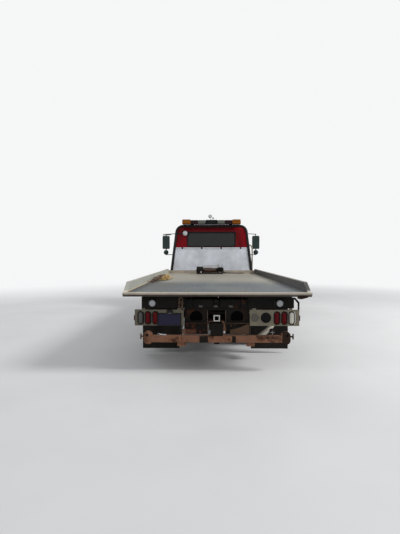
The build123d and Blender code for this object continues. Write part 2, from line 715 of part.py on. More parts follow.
def cab():
    """The hollow cab shell, its doors, and its glass."""
    outer = cab_solid(0)
    walls = outer - cab_solid(CAB_WALL)
    glass = cab_solid(GLASS_IN) - cab_solid(GLASS_IN + GLASS_THICK)
    inner = CAB_W / 3
    opening = round_side_prism(door_outline(0), inner, CAB_W, DOOR_CORNER)
    leaf = round_side_prism(door_outline(GAP), inner, CAB_W, DOOR_CORNER - GAP)
    window = round_side_prism(SIDE_WINDOW, inner, CAB_W, WINDOW_CORNER)
    pane = round_side_prism(shrink(SIDE_WINDOW, SEAT_GAP), inner, CAB_W, WINDOW_CORNER)
    back = (CAB_BACK_Y - 50, CAB_BACK_Y + CAB_WALL + 20)
    front = (COWL_Y - 580, COWL_Y + 50)
    shell = walls - opening - flip(opening)
    shell -= round_rear_prism(rear_window_outline(), *back, 50)
    shell -= round_rear_prism(WINDSCREEN, *front, 60)
    pins, knuckles, bores, reliefs = door_hinges()
    NODES["cab_shell"] = shell - both(reliefs) + pins + flip(pins)
    NODES["cab_glass"] = group(
        glass & round_rear_prism(shrink(rear_window_outline(), SEAT_GAP), *back, 50),
        glass & round_rear_prism(shrink(WINDSCREEN, SEAT_GAP), *front, 60),
    )
    NODES["door_right"] = (walls & leaf) - window - reliefs + knuckles - bores
    NODES["door_glass_right"] = glass & pane
    for name in ("door", "door_glass"):
        NODES[name + "_left"] = flip(NODES[name + "_right"])


MOUNT_Y = (CAB_BACK_Y + 120, COWL_Y - 180)
SEAT_X = CAB_W / 2 - 555.0
SEAT_TOP_Z = CAB_FLOOR_Z + 410
DASH_Y = COWL_Y - 365
SEAT_Y = (CAB_BACK_Y + 295, DASH_Y - 300)
WHEEL_Y = DASH_Y - 144
WHEEL_Z = BELT_Z - 90
WHEEL_R = 215.0
COLUMN_TILT = 25.0


def seat():
    """The driver's seat: a cushion and a leaning back on a plain base."""
    back, front = SEAT_Y
    made = block(
        -SEAT_X - 230, -SEAT_X + 230, back + 20, front - 40, CAB_FLOOR_Z + CAB_WALL + SEAT_GAP,
        SEAT_TOP_Z - 110
    )
    made += block(-SEAT_X - 250, -SEAT_X + 250, back, front, SEAT_TOP_Z - 120, SEAT_TOP_Z)
    lean = [
        (back, SEAT_TOP_Z - 20), (back + 110, SEAT_TOP_Z - 20),
        (back - 30, SEAT_TOP_Z + 640), (back - 110, SEAT_TOP_Z + 640),
    ]
    return made + side_prism(lean, -SEAT_X - 240, -SEAT_X + 240)


def interior():
    """Seats, dash and steering wheel."""
    inside = cab_solid(CAB_WALL + SEAT_GAP)
    low, high = CAB_FLOOR_Z + 190, BELT_Z - 50
    outline = [
        (DASH_Y, low), (DASH_Y - 30, high - 100), (DASH_Y + 60, high), (COWL_Y - 75, high),
        (COWL_Y - 75, low),
    ]
    dash = side_prism(outline, -CAB_W, CAB_W)
    tilt = Pos(-SEAT_X, WHEEL_Y, WHEEL_Z) * Rot(-COLUMN_TILT - 90, 0, 0)
    column = tilt * (Pos(0, 0, 17 + SEAT_GAP + 150) * Cylinder(28, 300))
    NODES["cab_interior"] = group(seat(), flip(seat()), (dash & inside) + column)
    ring = Torus(WHEEL_R, 17)
    spokes = Box(2 * WHEEL_R, 44, 12) + Pos(0, -WHEEL_R / 2, 0) * Box(44, WHEEL_R, 12) + Cylinder(62, 34)
    NODES["steering_wheel"] = tilt * (ring + spokes)


# Hood
HOOD_HINGE_Y = FRONT_Y - 98.0
HOOD_HINGE_Z = 720.0
HOOD_LOW_Z = 745.0
HOOD_WALL = 24.0
NOSE_X = 660.0
WING_W = 2250.0
WING_TOP_Z = 1260.0
ARCH_R = 580.0
ARCH_IN_X = 640.0
GRILLE_X = 400.0
GRILLE_Z = (960.0, 1400.0)
GRILLE_BARS = 6
HEADLAMP_X = 800.0
HEADLAMP_Z = 930.0
LAMP_BACK_Y = FRONT_Y - 155.0
HOOD_BACK_Y = COWL_Y + GAP

HOOD_SIDE = [
    (HOOD_BACK_Y, HOOD_LOW_Z), (HOOD_BACK_Y, BELT_Z - 10), (FRONT_Y - 605, BELT_Z - 90),
    (FRONT_Y - 185, BELT_Z - 180), (FRONT_Y - 75, BELT_Z - 250), (FRONT_Y - 35, BELT_Z - 400),
    (FRONT_Y - 30, HOOD_LOW_Z),
]
HOOD_REAR = [
    (-NOSE_X, HOOD_LOW_Z), (20 - NOSE_X, BELT_Z - 470), (70 - NOSE_X, BELT_Z - 170),
    (180 - NOSE_X, BELT_Z - 60),
    (410 - NOSE_X, BELT_Z - 10), (NOSE_X - 410, BELT_Z - 10), (NOSE_X - 180, BELT_Z - 60),
    (NOSE_X - 70, BELT_Z - 170), (NOSE_X - 20, BELT_Z - 470), (NOSE_X, HOOD_LOW_Z),
]
WING_SIDE = [
    (HOOD_BACK_Y, HOOD_LOW_Z), (HOOD_BACK_Y, WING_TOP_Z - 5), (FRONT_AXLE_Y - 165, WING_TOP_Z),
    (FRONT_Y - 405, WING_TOP_Z - 30), (FRONT_Y - 145, WING_TOP_Z - 120), (FRONT_Y - 65, WING_TOP_Z - 260),
    (FRONT_Y - 50, HOOD_LOW_Z),
]
WING_REAR = [
    (-WING_W / 2, HOOD_LOW_Z), (-WING_W / 2, WING_TOP_Z - 140), (-WING_W / 2 + 60, WING_TOP_Z - 50),
    (-WING_W / 2 + 200, WING_TOP_Z - 10), (WING_W / 2 - 200, WING_TOP_Z - 10),
    (WING_W / 2 - 60, WING_TOP_Z - 50),
    (WING_W / 2, WING_TOP_Z - 140), (WING_W / 2, HOOD_LOW_Z),
]


def crossed(side, rear, inset):
    """A shape with the given side-view and rear-view outlines, or its hollow, open below and behind."""
    along = make_face(Polyline([(0, y, z) for y, z in side], close=True))
    across = make_face(Polyline([(x, 0, z) for x, z in rear], close=True))
    if inset:
        along = offset(along, amount=-inset, kind=Kind.INTERSECTION)
        across = offset(across, amount=-inset, kind=Kind.INTERSECTION)
    solid = extrude(Pos(-CAB_W, 0, 0) * along, amount=2 * CAB_W, dir=(1, 0, 0))
    solid &= extrude(across, amount=OVERALL, dir=(0, 1, 0))
    if not inset:
        return solid
    down = Pos(0, 0, -2 * inset) * solid
    back = Pos(0, -2 * inset, 0) * solid
    return solid + down + back + Pos(0, -2 * inset, -2 * inset) * solid


def hood():
    """The tilting hood: a hollow nose and wings with wheel arches, a barred grille opening and lamp holes."""
    nose = crossed(HOOD_SIDE, HOOD_REAR, 0)
    wings = crossed(WING_SIDE, WING_REAR, 0)
    arch = both(rod_x(ARCH_IN_X, WING_W, FRONT_AXLE_Y, AXLE_Z, ARCH_R))
    liner = both(rod_x(ARCH_IN_X, WING_W / 2 - HOOD_WALL + 2, FRONT_AXLE_Y, AXLE_Z, ARCH_R + 10)) & wings
    made = nose + wings - crossed(HOOD_SIDE, HOOD_REAR, HOOD_WALL) - crossed(WING_SIDE, WING_REAR, HOOD_WALL)
    made = made + liner - arch
    grille = block(-GRILLE_X, GRILLE_X, LAMP_BACK_Y, FRONT_Y, *GRILLE_Z)
    made -= grille
    step = (GRILLE_Z[1] - GRILLE_Z[0]) / GRILLE_BARS
    for n in range(1, GRILLE_BARS):
        z = GRILLE_Z[0] + n * step
        made += block(-GRILLE_X - 5, GRILLE_X + 5, FRONT_Y - 73, FRONT_Y - 49, z - 11, z + 11)
    lamp = block(
        HEADLAMP_X - 130, HEADLAMP_X + 130, LAMP_BACK_Y - 50, FRONT_Y, HEADLAMP_Z - 85, HEADLAMP_Z + 85
    )
    for side in (-1, 1):
        x = side * (FRAME_W / 2 - RAIL_FLANGE / 2)
        made += rod_x(x - 20, x + 20, HOOD_HINGE_Y, HOOD_HINGE_Z, 22)
        made += block(x - 20, x + 20, HOOD_HINGE_Y, HOOD_HINGE_Y + 50, HOOD_HINGE_Z - 22, HOOD_LOW_Z + 30)
    return made - lamp - flip(lamp), lamp


def hood_hinges():
    """The hinge cheeks on the rails' front ends, either side of the hood's lugs, with their pins."""
    x = FRAME_W / 2 - RAIL_FLANGE / 2
    made = []
    for side in (-1, 1):
        middle = x + side * 33
        made.append(block(
            middle - 7, middle + 7, FRAME_FRONT_Y + SEAT_GAP, HOOD_HINGE_Y + 40, HOOD_HINGE_Z - 80,
            HOOD_HINGE_Z + 25
        ))
    pin = rod_x(x - 40, x + 40, HOOD_HINGE_Y, HOOD_HINGE_Z, 12)
    return both(made[0] + made[1] + pin)


def front_end():
    """The hood with its lamps, and what it hinges on."""
    shape, lamp = hood()
    bore = both(rod_x(FRAME_W / 2 - RAIL_FLANGE, FRAME_W / 2, HOOD_HINGE_Y, HOOD_HINGE_Z, 12.05))
    NODES["hood"] = shape - bore
    pod = lamp & crossed(WING_SIDE, WING_REAR, 0)
    inside = block(
        HEADLAMP_X - 130 + SEAT_GAP, HEADLAMP_X + 130 - SEAT_GAP, LAMP_BACK_Y, FRONT_Y,
        HEADLAMP_Z - 85 + SEAT_GAP, HEADLAMP_Z + 85 - SEAT_GAP,
    )
    NODES["headlamps"] = both(pod & inside)


MIRROR_X = (CAB_W / 2 + 275, CAB_W / 2 + 505)
MIRROR_Y = DOOR_Y[1] - 70
MIRROR_Z = (BELT_Z + 189, BELT_Z + 616)
MIRROR_DEEP = 90.0
MIRROR_ARM_R = 13.0
SPOT_MIRROR_R = 78.0
CAB_LEAN = (CAB_W - CAB_ROOF_W - 36) / 2 / (CAB_ROOF_Z - 90 - BELT_Z)


def mirrors():
    """A tall mirror head on two arms from the right door, and its copy on the left."""
    head = block(MIRROR_X[0], MIRROR_X[1], MIRROR_Y - MIRROR_DEEP, MIRROR_Y, *MIRROR_Z)
    head = fillet(head.edges().filter_by(Axis.Y), 35)
    face_y = MIRROR_Y - MIRROR_DEEP
    head -= block(
        MIRROR_X[0] + 14, MIRROR_X[1] - 14, face_y - 1, face_y + 8, MIRROR_Z[0] + 14, MIRROR_Z[1] - 14
    )
    mid = (MIRROR_X[0] + MIRROR_X[1]) / 2
    spine = rod_z(MIRROR_Z[0] - 190, MIRROR_Z[1] + 60, mid, MIRROR_Y - 30, MIRROR_ARM_R)
    made = head + spine
    spot_z = MIRROR_Z[0] - 110
    made += rod_y(face_y + 5, face_y + 35, mid, spot_z, SPOT_MIRROR_R)
    made += rod_y(face_y + 30, MIRROR_Y - 8, mid, spot_z, 24)
    foot_x = CAB_W / 2
    arms = (
        # the arm's height, and its foot's place and height on the door
        (MIRROR_Z[0] - 185, DOOR_Y[1] - 60, MIRROR_Z[0] - 185),
        (MIRROR_Z[1] + 55, DOOR_TOP_Y - 32, DOOR_Z[1] - 40),
    )
    for z, foot_y, foot_z in arms:
        lean = max(0.0, (z - BELT_Z) * CAB_LEAN)
        start = Vector(foot_x - lean - 6, foot_y, foot_z)
        end = Vector(mid, MIRROR_Y - 30, z)
        made += extrude(
            Plane(origin=start, z_dir=end - start) * Circle(MIRROR_ARM_R - 2), amount=(end - start).length
        )
        made += Pos(*end) * Sphere(MIRROR_ARM_R + 5)
    return made - NODES["door_right"]


def mirror_nodes():
    """The mirrors of both doors."""
    NODES["mirror_right"] = mirrors()
    NODES["mirror_left"] = flip(NODES["mirror_right"])


# Tilt frame and tail
RAIL_LOW, RAIL_HIGH = TILT_Z, TILT_Z + TILT_RAIL_H
TILT_CROSS_Y = [REAR_Y + along for along in (195, 905, 1655, 2435, 3305, 4105, 4865, 5585)]
TILT_CROSS_W = 90.0
PAD_PITCH = 900.0
PAD_LONG = 110.0
BED_CYL_Z = RAIL_LOW + 62.0
BED_CYL_BORE = 52.0
BEAM_REAR_Y = (REAR_Y + 115, REAR_Y + 215)
BEAM_Z = (RAIL_LOW + 2, RAIL_HIGH + 38)
BEAM_X = 1050.0
TAIL_Y = REAR_Y + 155
BULK_X = 455.0
BULK_LOW_Z = RAIL_LOW - 368
BULK_THICK = 14.0
BULK_HOLE_R = 90.0
BULK_HOLE_X = 287.0
BULK_HOLE_Z = RAIL_LOW - 110
LEDGE_Z = RAIL_LOW - 201
GUSSET = [(0, 2), (0, 66), (60, 76), (120, 92), (170, 110), (215, 132), (240, 144), (266, 147), (266, 2)]
GUSSET_DEEP = 30.0
HANGER_X = 127.0
LAMP_PLATE_X = (462.0, 1146.0)
LAMP_PLATE_Z = (BEAM_Z[0] - 243, BEAM_Z[0] - 21)
LAMP_PLATE_DEEP = 38.0
LAMP_PLATE_Y = REAR_Y + 106
OVAL_X = (847.0, 950.0, 1052.0)
OVAL_Z = LAMP_PLATE_Z[0] + 108
OVAL_H = 185.0
OVAL_W = 80.0
LIFT_Y = REAR_Y + 1005
LIFT_Z = RAIL_LOW - 254
LIFT_PIN_R = 20.0
BOOM_X = 112.0
BOOM_Z = (LIFT_Z - 67, LIFT_Z + 66)
BOOM_Y = (REAR_Y + 175, LIFT_Y + 55)
BOOM_WALL = 12.0
SLIDE_FIT = 6.0
STINGER_Y = (REAR_Y + 155, LIFT_Y - 60)
CROSS_BAR_Y = REAR_Y + 101
CROSS_BAR_Z = (LIFT_Z - 211, LIFT_Z - 122)
CROSS_BAR_X = 905.0
SWIVEL_R = 25.0
TUBE_W = 88.0
TUBE_Z = (BOOM_Z[1] + 8, BOOM_Z[1] + 8 + TUBE_W)
TUBE_Y = (REAR_Y + 105, REAR_Y + 285)
LIFT_CYL_BASE = (LIFT_Y - 120, LIFT_Z + 208)
LIFT_CYL_EYE = (LIFT_Y - 580, LIFT_Z + 108)
LIFT_CYL_PIN = 12.0
LIFT_CYL_GAP = 30.0
TILT_CYL_X = 230.0
TILT_CYL_BASE = (CROSS_Y[1] - 90, FRAME_TOP - 155)
TILT_CYL_EYE = (TILT_CROSS_Y[3] + 70, RAIL_LOW - 30)
TILT_CYL_PIN = 20.0
TILT_CYL_GAP = 34.0


def tilt_rails():
    """Two hollow box rails with closed ends, each with a bored sleeve for its pivot pin at the rear."""
    x0, x1 = TILT_X - TILT_RAIL_W / 2, TILT_X + TILT_RAIL_W / 2
    rail = block(x0, x1, TILT_REAR_Y, TILT_FRONT_Y, RAIL_LOW, RAIL_HIGH)
    rail -= block(
        x0 + TILT_WALL, x1 - TILT_WALL, TILT_REAR_Y + TILT_WALL, TILT_FRONT_Y - TILT_WALL,
        RAIL_LOW + TILT_WALL, RAIL_HIGH - TILT_WALL,
    )
    rail += rod_x(x0 + 1, x1 - 1, PIVOT_Y, PIVOT_Z, PIVOT_R + 10)
    rail -= rod_x(TILT_X - TILT_RAIL_W, TILT_X + TILT_RAIL_W, PIVOT_Y, PIVOT_Z, PIVOT_R + 0.05)
    pads = int((TILT_FRONT_Y - TILT_REAR_Y) // PAD_PITCH) + 1
    for n in range(pads):
        y = TILT_REAR_Y + 60 + n * PAD_PITCH
        rail += block(
            SILL_X - SILL_W / 2 + 4, SILL_X + SILL_W / 2 - 4, y - PAD_LONG / 2, y + PAD_LONG / 2,
            RAIL_HIGH - 1, RAIL_HIGH + SLIDE_GAP - SEAT_GAP,
        )
    return both(rail)


def cylinder_cheeks(x, spot, pin_r, gap, to_y):
    """Two cheeks either side of a cylinder's end, with the pin's ends, reaching from it to a face at to_y."""
    y, z = spot
    made = []
    for side in (-1, 1):
        x0, x1 = sorted((x + side * gap, x + side * (gap + 12)))
        cheek = rod_x(x0, x1, y, z, pin_r + 18)
        cheek += block(x0, x1, min(y, to_y), max(y, to_y), z - pin_r - 18, z + pin_r + 18)
        made.append(cheek + rod_x(*sorted((x + side * (gap + 6), x + side * (gap + 20))), y, z, pin_r))
    return made[0] + made[1]


def tilt_cross():
    """The cross members between the tilt rails, open for the bed's cylinder, one with the rods' cheeks.
    The rods' eyes drift a little as the bed tilts, so their pins' middles stay with them."""
    reach = TILT_X - TILT_RAIL_W / 2 - SEAT_GAP
    made = []
    for y in TILT_CROSS_Y:
        member = block(-reach, reach, y - TILT_CROSS_W / 2, y + TILT_CROSS_W / 2, RAIL_LOW + 5, RAIL_HIGH)
        member -= rod_y(y - TILT_CROSS_W, y + TILT_CROSS_W, 0, BED_CYL_Z, BED_CYL_BORE)
        member -= block(
            -BED_CYL_BORE, BED_CYL_BORE, y - TILT_CROSS_W, y + TILT_CROSS_W, BED_CYL_Z, RAIL_HIGH + 1
        )
        if y == TILT_CROSS_Y[3]:
            for x in (-TILT_CYL_X, TILT_CYL_X):
                member += cylinder_cheeks(x, TILT_CYL_EYE, TILT_CYL_PIN, TILT_CYL_GAP, y + 20)
                for side in (-1, 1):
                    x0, x1 = sorted((x + side * TILT_CYL_GAP, x + side * (TILT_CYL_GAP + 12)))
                    member += block(x0, x1, y - 20, y + 60, TILT_CYL_EYE[1] - 38, RAIL_LOW + 20)
        made.append(member)
    return group(*made)


def tail():
    """The bulkhead with its arched holes, the hanger plates, and the beam under the bed's rear."""
    y0, y1 = TAIL_Y, TAIL_Y + BULK_THICK
    plate = block(-BULK_X, BULK_X, y0, y1, BULK_LOW_Z, RAIL_LOW - 2)
    for side in (-1, 1):
        x = side * BULK_HOLE_X
        hole = rod_y(y0 - 1, y1 + 1, x, BULK_HOLE_Z - 20, BULK_HOLE_R)
        hole &= block(x - 200, x + 200, y0 - 2, y1 + 2, BULK_HOLE_Z - 70, BULK_HOLE_Z + 200)
        plate -= hole
    plate -= block(-HANGER_X + 7, HANGER_X - 7, y0 - 1, y1 + 1, BULK_LOW_Z - 1, RAIL_LOW - 32)
    ledge = block(HANGER_X, BULK_X, y0 - 34, y0 + 1, LEDGE_Z - 12, LEDGE_Z)
    holder = block(-BULK_X + 6, 170 - BULK_X, y0 - 40, y0 + 1, BULK_LOW_Z + 5, BULK_LOW_Z + 74)
    holder -= block(14 - BULK_X, 162 - BULK_X, y0 - 41, y0 - 1, BULK_LOW_Z + 13, BULK_LOW_Z + 66)
    holder += rod_y(y0 - 40, y0 + 1, -BULK_X + 6, BULK_LOW_Z + 40, 35)
    gusset = rear_prism(
        [(x - 268 + BULK_X, BULK_LOW_Z + z) for x, z in GUSSET], y0 - GUSSET_DEEP, y0 + 1
    )
    return plate + ledge + flip(ledge) + holder + gusset


def hangers():
    """Two plates from the tilt frame down to the wheel lift's hinge."""
    back = TAIL_Y + BULK_THICK + SEAT_GAP
    top = RAIL_LOW + 5 - SEAT_GAP
    outline = [
        (back, RAIL_LOW - 345), (back, top), (LIFT_Y + 80, top), (LIFT_Y + 80, LIFT_Z + 6),
        (LIFT_Y + 38, LIFT_Z - 42), (LIFT_Y - 600, LIFT_Z - 42),
    ]
    plate = side_prism(outline, HANGER_X - 7, HANGER_X + 7)
    plate += rod_x(BOOM_X - BOOM_WALL + 1, HANGER_X + 20, LIFT_Y, LIFT_Z, LIFT_PIN_R)
    tube = block(-TUBE_W / 2, TUBE_W / 2, *TUBE_Y, *TUBE_Z)
    tube -= block(
        -TUBE_W / 2 + 12, TUBE_W / 2 - 12, TUBE_Y[0] - 1, TUBE_Y[1] + 1, TUBE_Z[0] + 12, TUBE_Z[1] - 12
    )
    bar = block(-HANGER_X + 7, HANGER_X - 7, TUBE_Y[1] - 60, TUBE_Y[1] - 20, TUBE_Z[1] - 1, TUBE_Z[1] + 30)
    pin = rod_x(-HANGER_X, HANGER_X, LIFT_CYL_BASE[0], LIFT_CYL_BASE[1], LIFT_CYL_PIN)
    return plate + flip(plate) + tube + bar + pin


def rear_beam():
    """The cross beam under the bed's rear, with a round lamp in each end."""
    beam = block(-BEAM_X, BEAM_X, *BEAM_REAR_Y, *BEAM_Z)
    reach = TILT_X + TILT_RAIL_W / 2 + SEAT_GAP
    return beam - block(-reach, reach, BEAM_REAR_Y[0] - 1, BEAM_REAR_Y[1] + 1, BEAM_Z[0] - 1, BEAM_Z[1] + 1)


def lamp_plates():
    """The lamp plate boxes either side of the bulkhead, each on an arm up to the rear beam."""
    x0, x1 = LAMP_PLATE_X
    z0, z1 = LAMP_PLATE_Z
    y0, y1 = LAMP_PLATE_Y, LAMP_PLATE_Y + LAMP_PLATE_DEEP
    body = block(x0, x1, y0, y1, z0, z1) - block(x0 + 3, x1 - 3, y0 + 3, y1 + 1, z0 + 3, z1 - 3)
    for x in (x0 + 60, x1 - 120):
        body += block(x - 25, x + 25, y0 + 2, y0 + 12, z1 - 10, BEAM_Z[0] - SEAT_GAP)
    hole = extrude(SlotOverall(OVAL_H, OVAL_W, rotation=90), amount=20, both=True)
    lens = extrude(SlotOverall(OVAL_H - 2 * SEAT_GAP, OVAL_W - 2 * SEAT_GAP, rotation=90), amount=24)
    lamps = []
    for x in OVAL_X:
        body -= Pos(x, y0, OVAL_Z) * Rot(90, 0, 0) * hole
        lamps.append(Pos(x, y0 + 14, OVAL_Z) * Rot(90, 0, 0) * lens)
    return body, group(*lamps)


def tilt_frame():
    """Everything that tilts but doesn't slide."""
    NODES["tilt_rails"] = tilt_rails()
    NODES["tilt_cross_members"] = tilt_cross()
    NODES["tail_bulkhead"] = group(tail(), hangers())
    NODES["rear_beam"] = rear_beam()
    body, lamps = lamp_plates()
    NODES["lamp_plates"] = both(body)
    NODES["tail_lamps"] = both(lamps)


# Bed
PLATE_X = BED_W / 2 - EDGE_THICK
BEAM_PITCH = 405.0
CROSS_BEAM_W = 50.0
CROSS_BEAM_WALL = 6.0
WINCH_X = (-417.0, 320.0)
WINCH_Y = (BED_FRONT_Y - 405, BED_FRONT_Y - 155)
SEAM_Y = WINCH_Y[0] - 80
GEAR_R = 102.0
DRUM_Z = BED_TOP + 105
DRUM_SPAN = (-235.0, 165.0)
DRUM_CORE_R = 52.0
DRUM_FLANGE_R = 78.0


def bed():
    """The bed's deck and the plate under the winch, cross beams and sills, edge channels and side rails."""
    rear = REAR_Y + EDGE_THICK
    half = PLATE_X - SEAT_GAP
    NODES["bed_plate"] = group(
        block(-half, half, rear + SEAT_GAP, SEAM_Y - SEAT_GAP, BED_TOP - BED_PLATE, BED_TOP),
        block(-half, half, SEAM_Y, BED_FRONT_Y - SEAT_GAP, BED_TOP - BED_PLATE, BED_TOP),
    )
    beam_top = BED_TOP - BED_PLATE - SEAT_GAP
    beam_low = BED_TOP - BED_PLATE - BED_BEAM
    count = int((BED_LONG - 200) // BEAM_PITCH)
    first = rear + (BED_LONG - EDGE_THICK - count * BEAM_PITCH) / 2
    beams = []
    for n in range(count + 1):
        y = first + n * BEAM_PITCH
        beam = block(
            -PLATE_X + 1, PLATE_X - 1, y - CROSS_BEAM_W / 2, y + CROSS_BEAM_W / 2, beam_low, beam_top
        )
        beam -= block(
            -PLATE_X, PLATE_X, y - CROSS_BEAM_W / 2 + CROSS_BEAM_WALL, y + CROSS_BEAM_W,
            beam_low + CROSS_BEAM_WALL, beam_top - CROSS_BEAM_WALL
        )
        beams.append(beam)
    sill = block(
        SILL_X - SILL_W / 2, SILL_X + SILL_W / 2, rear + 4, BED_FRONT_Y - 20, beam_low - BED_SILL,
        beam_low - SEAT_GAP
    )
    sill -= block(
        SILL_X - SILL_W / 2 + CROSS_BEAM_WALL, SILL_X + SILL_W / 2 - CROSS_BEAM_WALL, rear, BED_FRONT_Y,
        beam_low - BED_SILL + CROSS_BEAM_WALL, beam_low - CROSS_BEAM_WALL,
    )
    NODES["bed_underframe"] = group(both(sill), *beams)
    side = block(PLATE_X, BED_W / 2, rear + SEAT_GAP, BED_FRONT_Y, BED_TOP - EDGE_DEEP, BED_TOP)
    side -= block(
        PLATE_X + EDGE_WALL, BED_W / 2 + 1, rear, BED_FRONT_Y + 1,
        BED_TOP - EDGE_DEEP + EDGE_WALL, BED_TOP - EDGE_WALL,
    )
    back = side_prism(
        [
            (REAR_Y, BED_TOP), (REAR_Y, BED_TOP - EDGE_DEEP / 2),
            (REAR_Y + EDGE_DEEP / 2, BED_TOP - EDGE_DEEP),
            (rear, BED_TOP - EDGE_DEEP), (rear, BED_TOP),
        ],
        -BED_W / 2,
        BED_W / 2,
    )
    rail_front = BED_FRONT_Y - LIP_DEEP - SEAT_GAP
    rail = side_prism(
        [
            (REAR_Y + 30, BED_TOP + SEAT_GAP), (REAR_Y + 30 + SIDE_RAIL_SLOPE, BED_TOP + SIDE_RAIL_H),
            (rail_front, BED_TOP + SIDE_RAIL_H), (rail_front, BED_TOP + SEAT_GAP),
        ],
        BED_W / 2 - SIDE_RAIL_W - 5,
        BED_W / 2 - 5,
    )
    rail -= block(
        BED_W / 2 - SIDE_RAIL_W, BED_W / 2 - 10, REAR_Y + 30 + SIDE_RAIL_SLOPE, rail_front + 1,
        BED_TOP + 5, BED_TOP + SIDE_RAIL_H - 5,
    )
    NODES["side_rails"] = both(rail)
    lip = block(
        -BED_W / 2 + 5, BED_W / 2 - 5, BED_FRONT_Y - LIP_DEEP, BED_FRONT_Y, BED_TOP + SEAT_GAP,
        BED_TOP + LIP_H
    )
    NODES["bed_edges"] = group(both(side), back, lip)


HOOP_Y = BED_FRONT_Y - LIP_DEEP / 2
LIGHT_BAR_W = 1691.0
LIGHT_BAR_H = 134.0
LIGHT_BAR_DEEP = 250.0
TOP_LAMP_X = -40.0
TOP_LAMP_R = 52.0


def headboard():
    """The hoop of round tube over the front lip, the panel in its lower half, and the lamps on it."""
    base = (HOOP_BASE_W - HOOP_TUBE) / 2
    top = (HOOP_TOP_W - HOOP_TUBE) / 2
    low = BED_TOP + LIP_H + SEAT_GAP
    high = HOOP_TOP_Z - HOOP_TUBE / 2
    path = FilletPolyline(
        (-base, HOOP_Y, low), (-top, HOOP_Y, high), (top, HOOP_Y, high), (base, HOOP_Y, low),
        radius=HOOP_CORNER
    )
    tube = sweep(Plane(origin=path @ 0, z_dir=path % 0) * Circle(HOOP_TUBE / 2), path=path)
    tube &= block(-BED_W, BED_W, HOOP_Y - 100, HOOP_Y + 100, low, 3000)
    NODES["hoop"] = tube
    lean = (base - top) / (high - low)
    inside = HOOP_TUBE / 2 / math.cos(math.atan(lean)) + SEAT_GAP
    at_low = base - 6 * lean - inside
    at_high = base - (PANEL_TOP_Z - low) * lean - inside
    panel = rear_prism(
        [(-at_low, low + 6), (at_low, low + 6), (at_high, PANEL_TOP_Z), (-at_high, PANEL_TOP_Z)],
        HOOP_Y - PANEL_THICK / 2,
        HOOP_Y + PANEL_THICK / 2,
    )
    frame = block(-at_high + 1, at_high - 1, HOOP_Y - 16, HOOP_Y + 16, PANEL_TOP_Z - 30, PANEL_TOP_Z)
    frame += block(-at_low + 5, at_low - 5, HOOP_Y - 16, HOOP_Y + 16, low, low + 30)
    panel += frame
    for x in PANEL_NOTCH_X:
        panel -= rod_y(HOOP_Y - 20, HOOP_Y + 20, x, PANEL_TOP_Z - 20, PANEL_NOTCH_R)
    NODES["headboard_panel"] = panel
    bar_low = HOOP_TOP_Z + 12
    bar = block(
        -LIGHT_BAR_W / 2, LIGHT_BAR_W / 2, HOOP_Y - LIGHT_BAR_DEEP / 2, HOOP_Y + LIGHT_BAR_DEEP / 2,
        bar_low, bar_low + LIGHT_BAR_H,
    )
    bar = fillet(bar.edges().filter_by(Axis.Z), 55)
    for side in (-1, 1):
        bar += block(
            side * 560 - 45, side * 560 + 45, HOOP_Y - 40, HOOP_Y + 40, HOOP_TOP_Z + SEAT_GAP, bar_low + 5
        )
    bar_top = bar_low + LIGHT_BAR_H
    lamp = rod_y(HOOP_Y - 60, HOOP_Y + 40, TOP_LAMP_X, bar_top + 92, TOP_LAMP_R)
    lamp += rod_z(bar_top + SEAT_GAP, bar_top + 92, TOP_LAMP_X, HOOP_Y, 14)
    NODES["light_bar"] = group(bar, lamp)


def winch():
    """The winch at the bed's front: a base with two end housings, and a drum between them."""
    base = block(WINCH_X[0], WINCH_X[1], WINCH_Y[0], WINCH_Y[1], BED_TOP + SEAT_GAP, BED_TOP + 22)
    mid = (WINCH_Y[0] + WINCH_Y[1]) / 2
    gear = rod_x(WINCH_X[0], DRUM_SPAN[0] - 5, mid, DRUM_Z, GEAR_R)
    gear += block(WINCH_X[0] + 10, DRUM_SPAN[0] - 5, mid - 105, mid + 105, BED_TOP + 20, DRUM_Z)
    stand = block(DRUM_SPAN[1] + 5, DRUM_SPAN[1] + 35, mid - 100, mid + 100, BED_TOP + 20, DRUM_Z + 60)
    motor = rod_x(DRUM_SPAN[1] + 30, WINCH_X[1], mid, DRUM_Z + 20, 62)
    NODES["winch_frame"] = base + gear + stand + motor
    drum = rod_x(DRUM_SPAN[0], DRUM_SPAN[1], mid, DRUM_Z, DRUM_CORE_R)
    for x in (DRUM_SPAN[0], DRUM_SPAN[1] - 12):
        drum += rod_x(x, x + 12, mid, DRUM_Z, DRUM_FLANGE_R)
    for x in (DRUM_SPAN[0] - 30, DRUM_SPAN[1] - 1):
        drum += rod_x(x, x + 31, mid, DRUM_Z, 24)
    bore = rod_x(DRUM_SPAN[0] - 31, DRUM_SPAN[1] + 31, mid, DRUM_Z, 24.05)
    NODES["winch_frame"] -= bore
    NODES["winch_drum"] = drum


# Wheel lift
def boom():
    """The boom: a box tube hinged between the hangers, with the lug for its cylinder on top."""
    made = block(-BOOM_X, BOOM_X, *BOOM_Y, *BOOM_Z)
    made -= block(
        -BOOM_X + BOOM_WALL, BOOM_X - BOOM_WALL, BOOM_Y[0] - 1, BOOM_Y[1] + 1,
        BOOM_Z[0] + BOOM_WALL, BOOM_Z[1] - BOOM_WALL,
    )
    made -= rod_x(-BOOM_X - 1, BOOM_X + 1, LIFT_Y, LIFT_Z, LIFT_PIN_R + 0.05)
    y, z = LIFT_CYL_EYE
    for side in (-1, 1):
        x0, x1 = sorted((side * LIFT_CYL_GAP, side * (LIFT_CYL_GAP + 12)))
        made += block(x0, x1, y - 30, y + 30, BOOM_Z[1] - 1, z + 26)
        made += rod_x(*sorted((side * (LIFT_CYL_GAP + 6), side * (LIFT_CYL_GAP + 18))), y, z, LIFT_CYL_PIN)
    return made


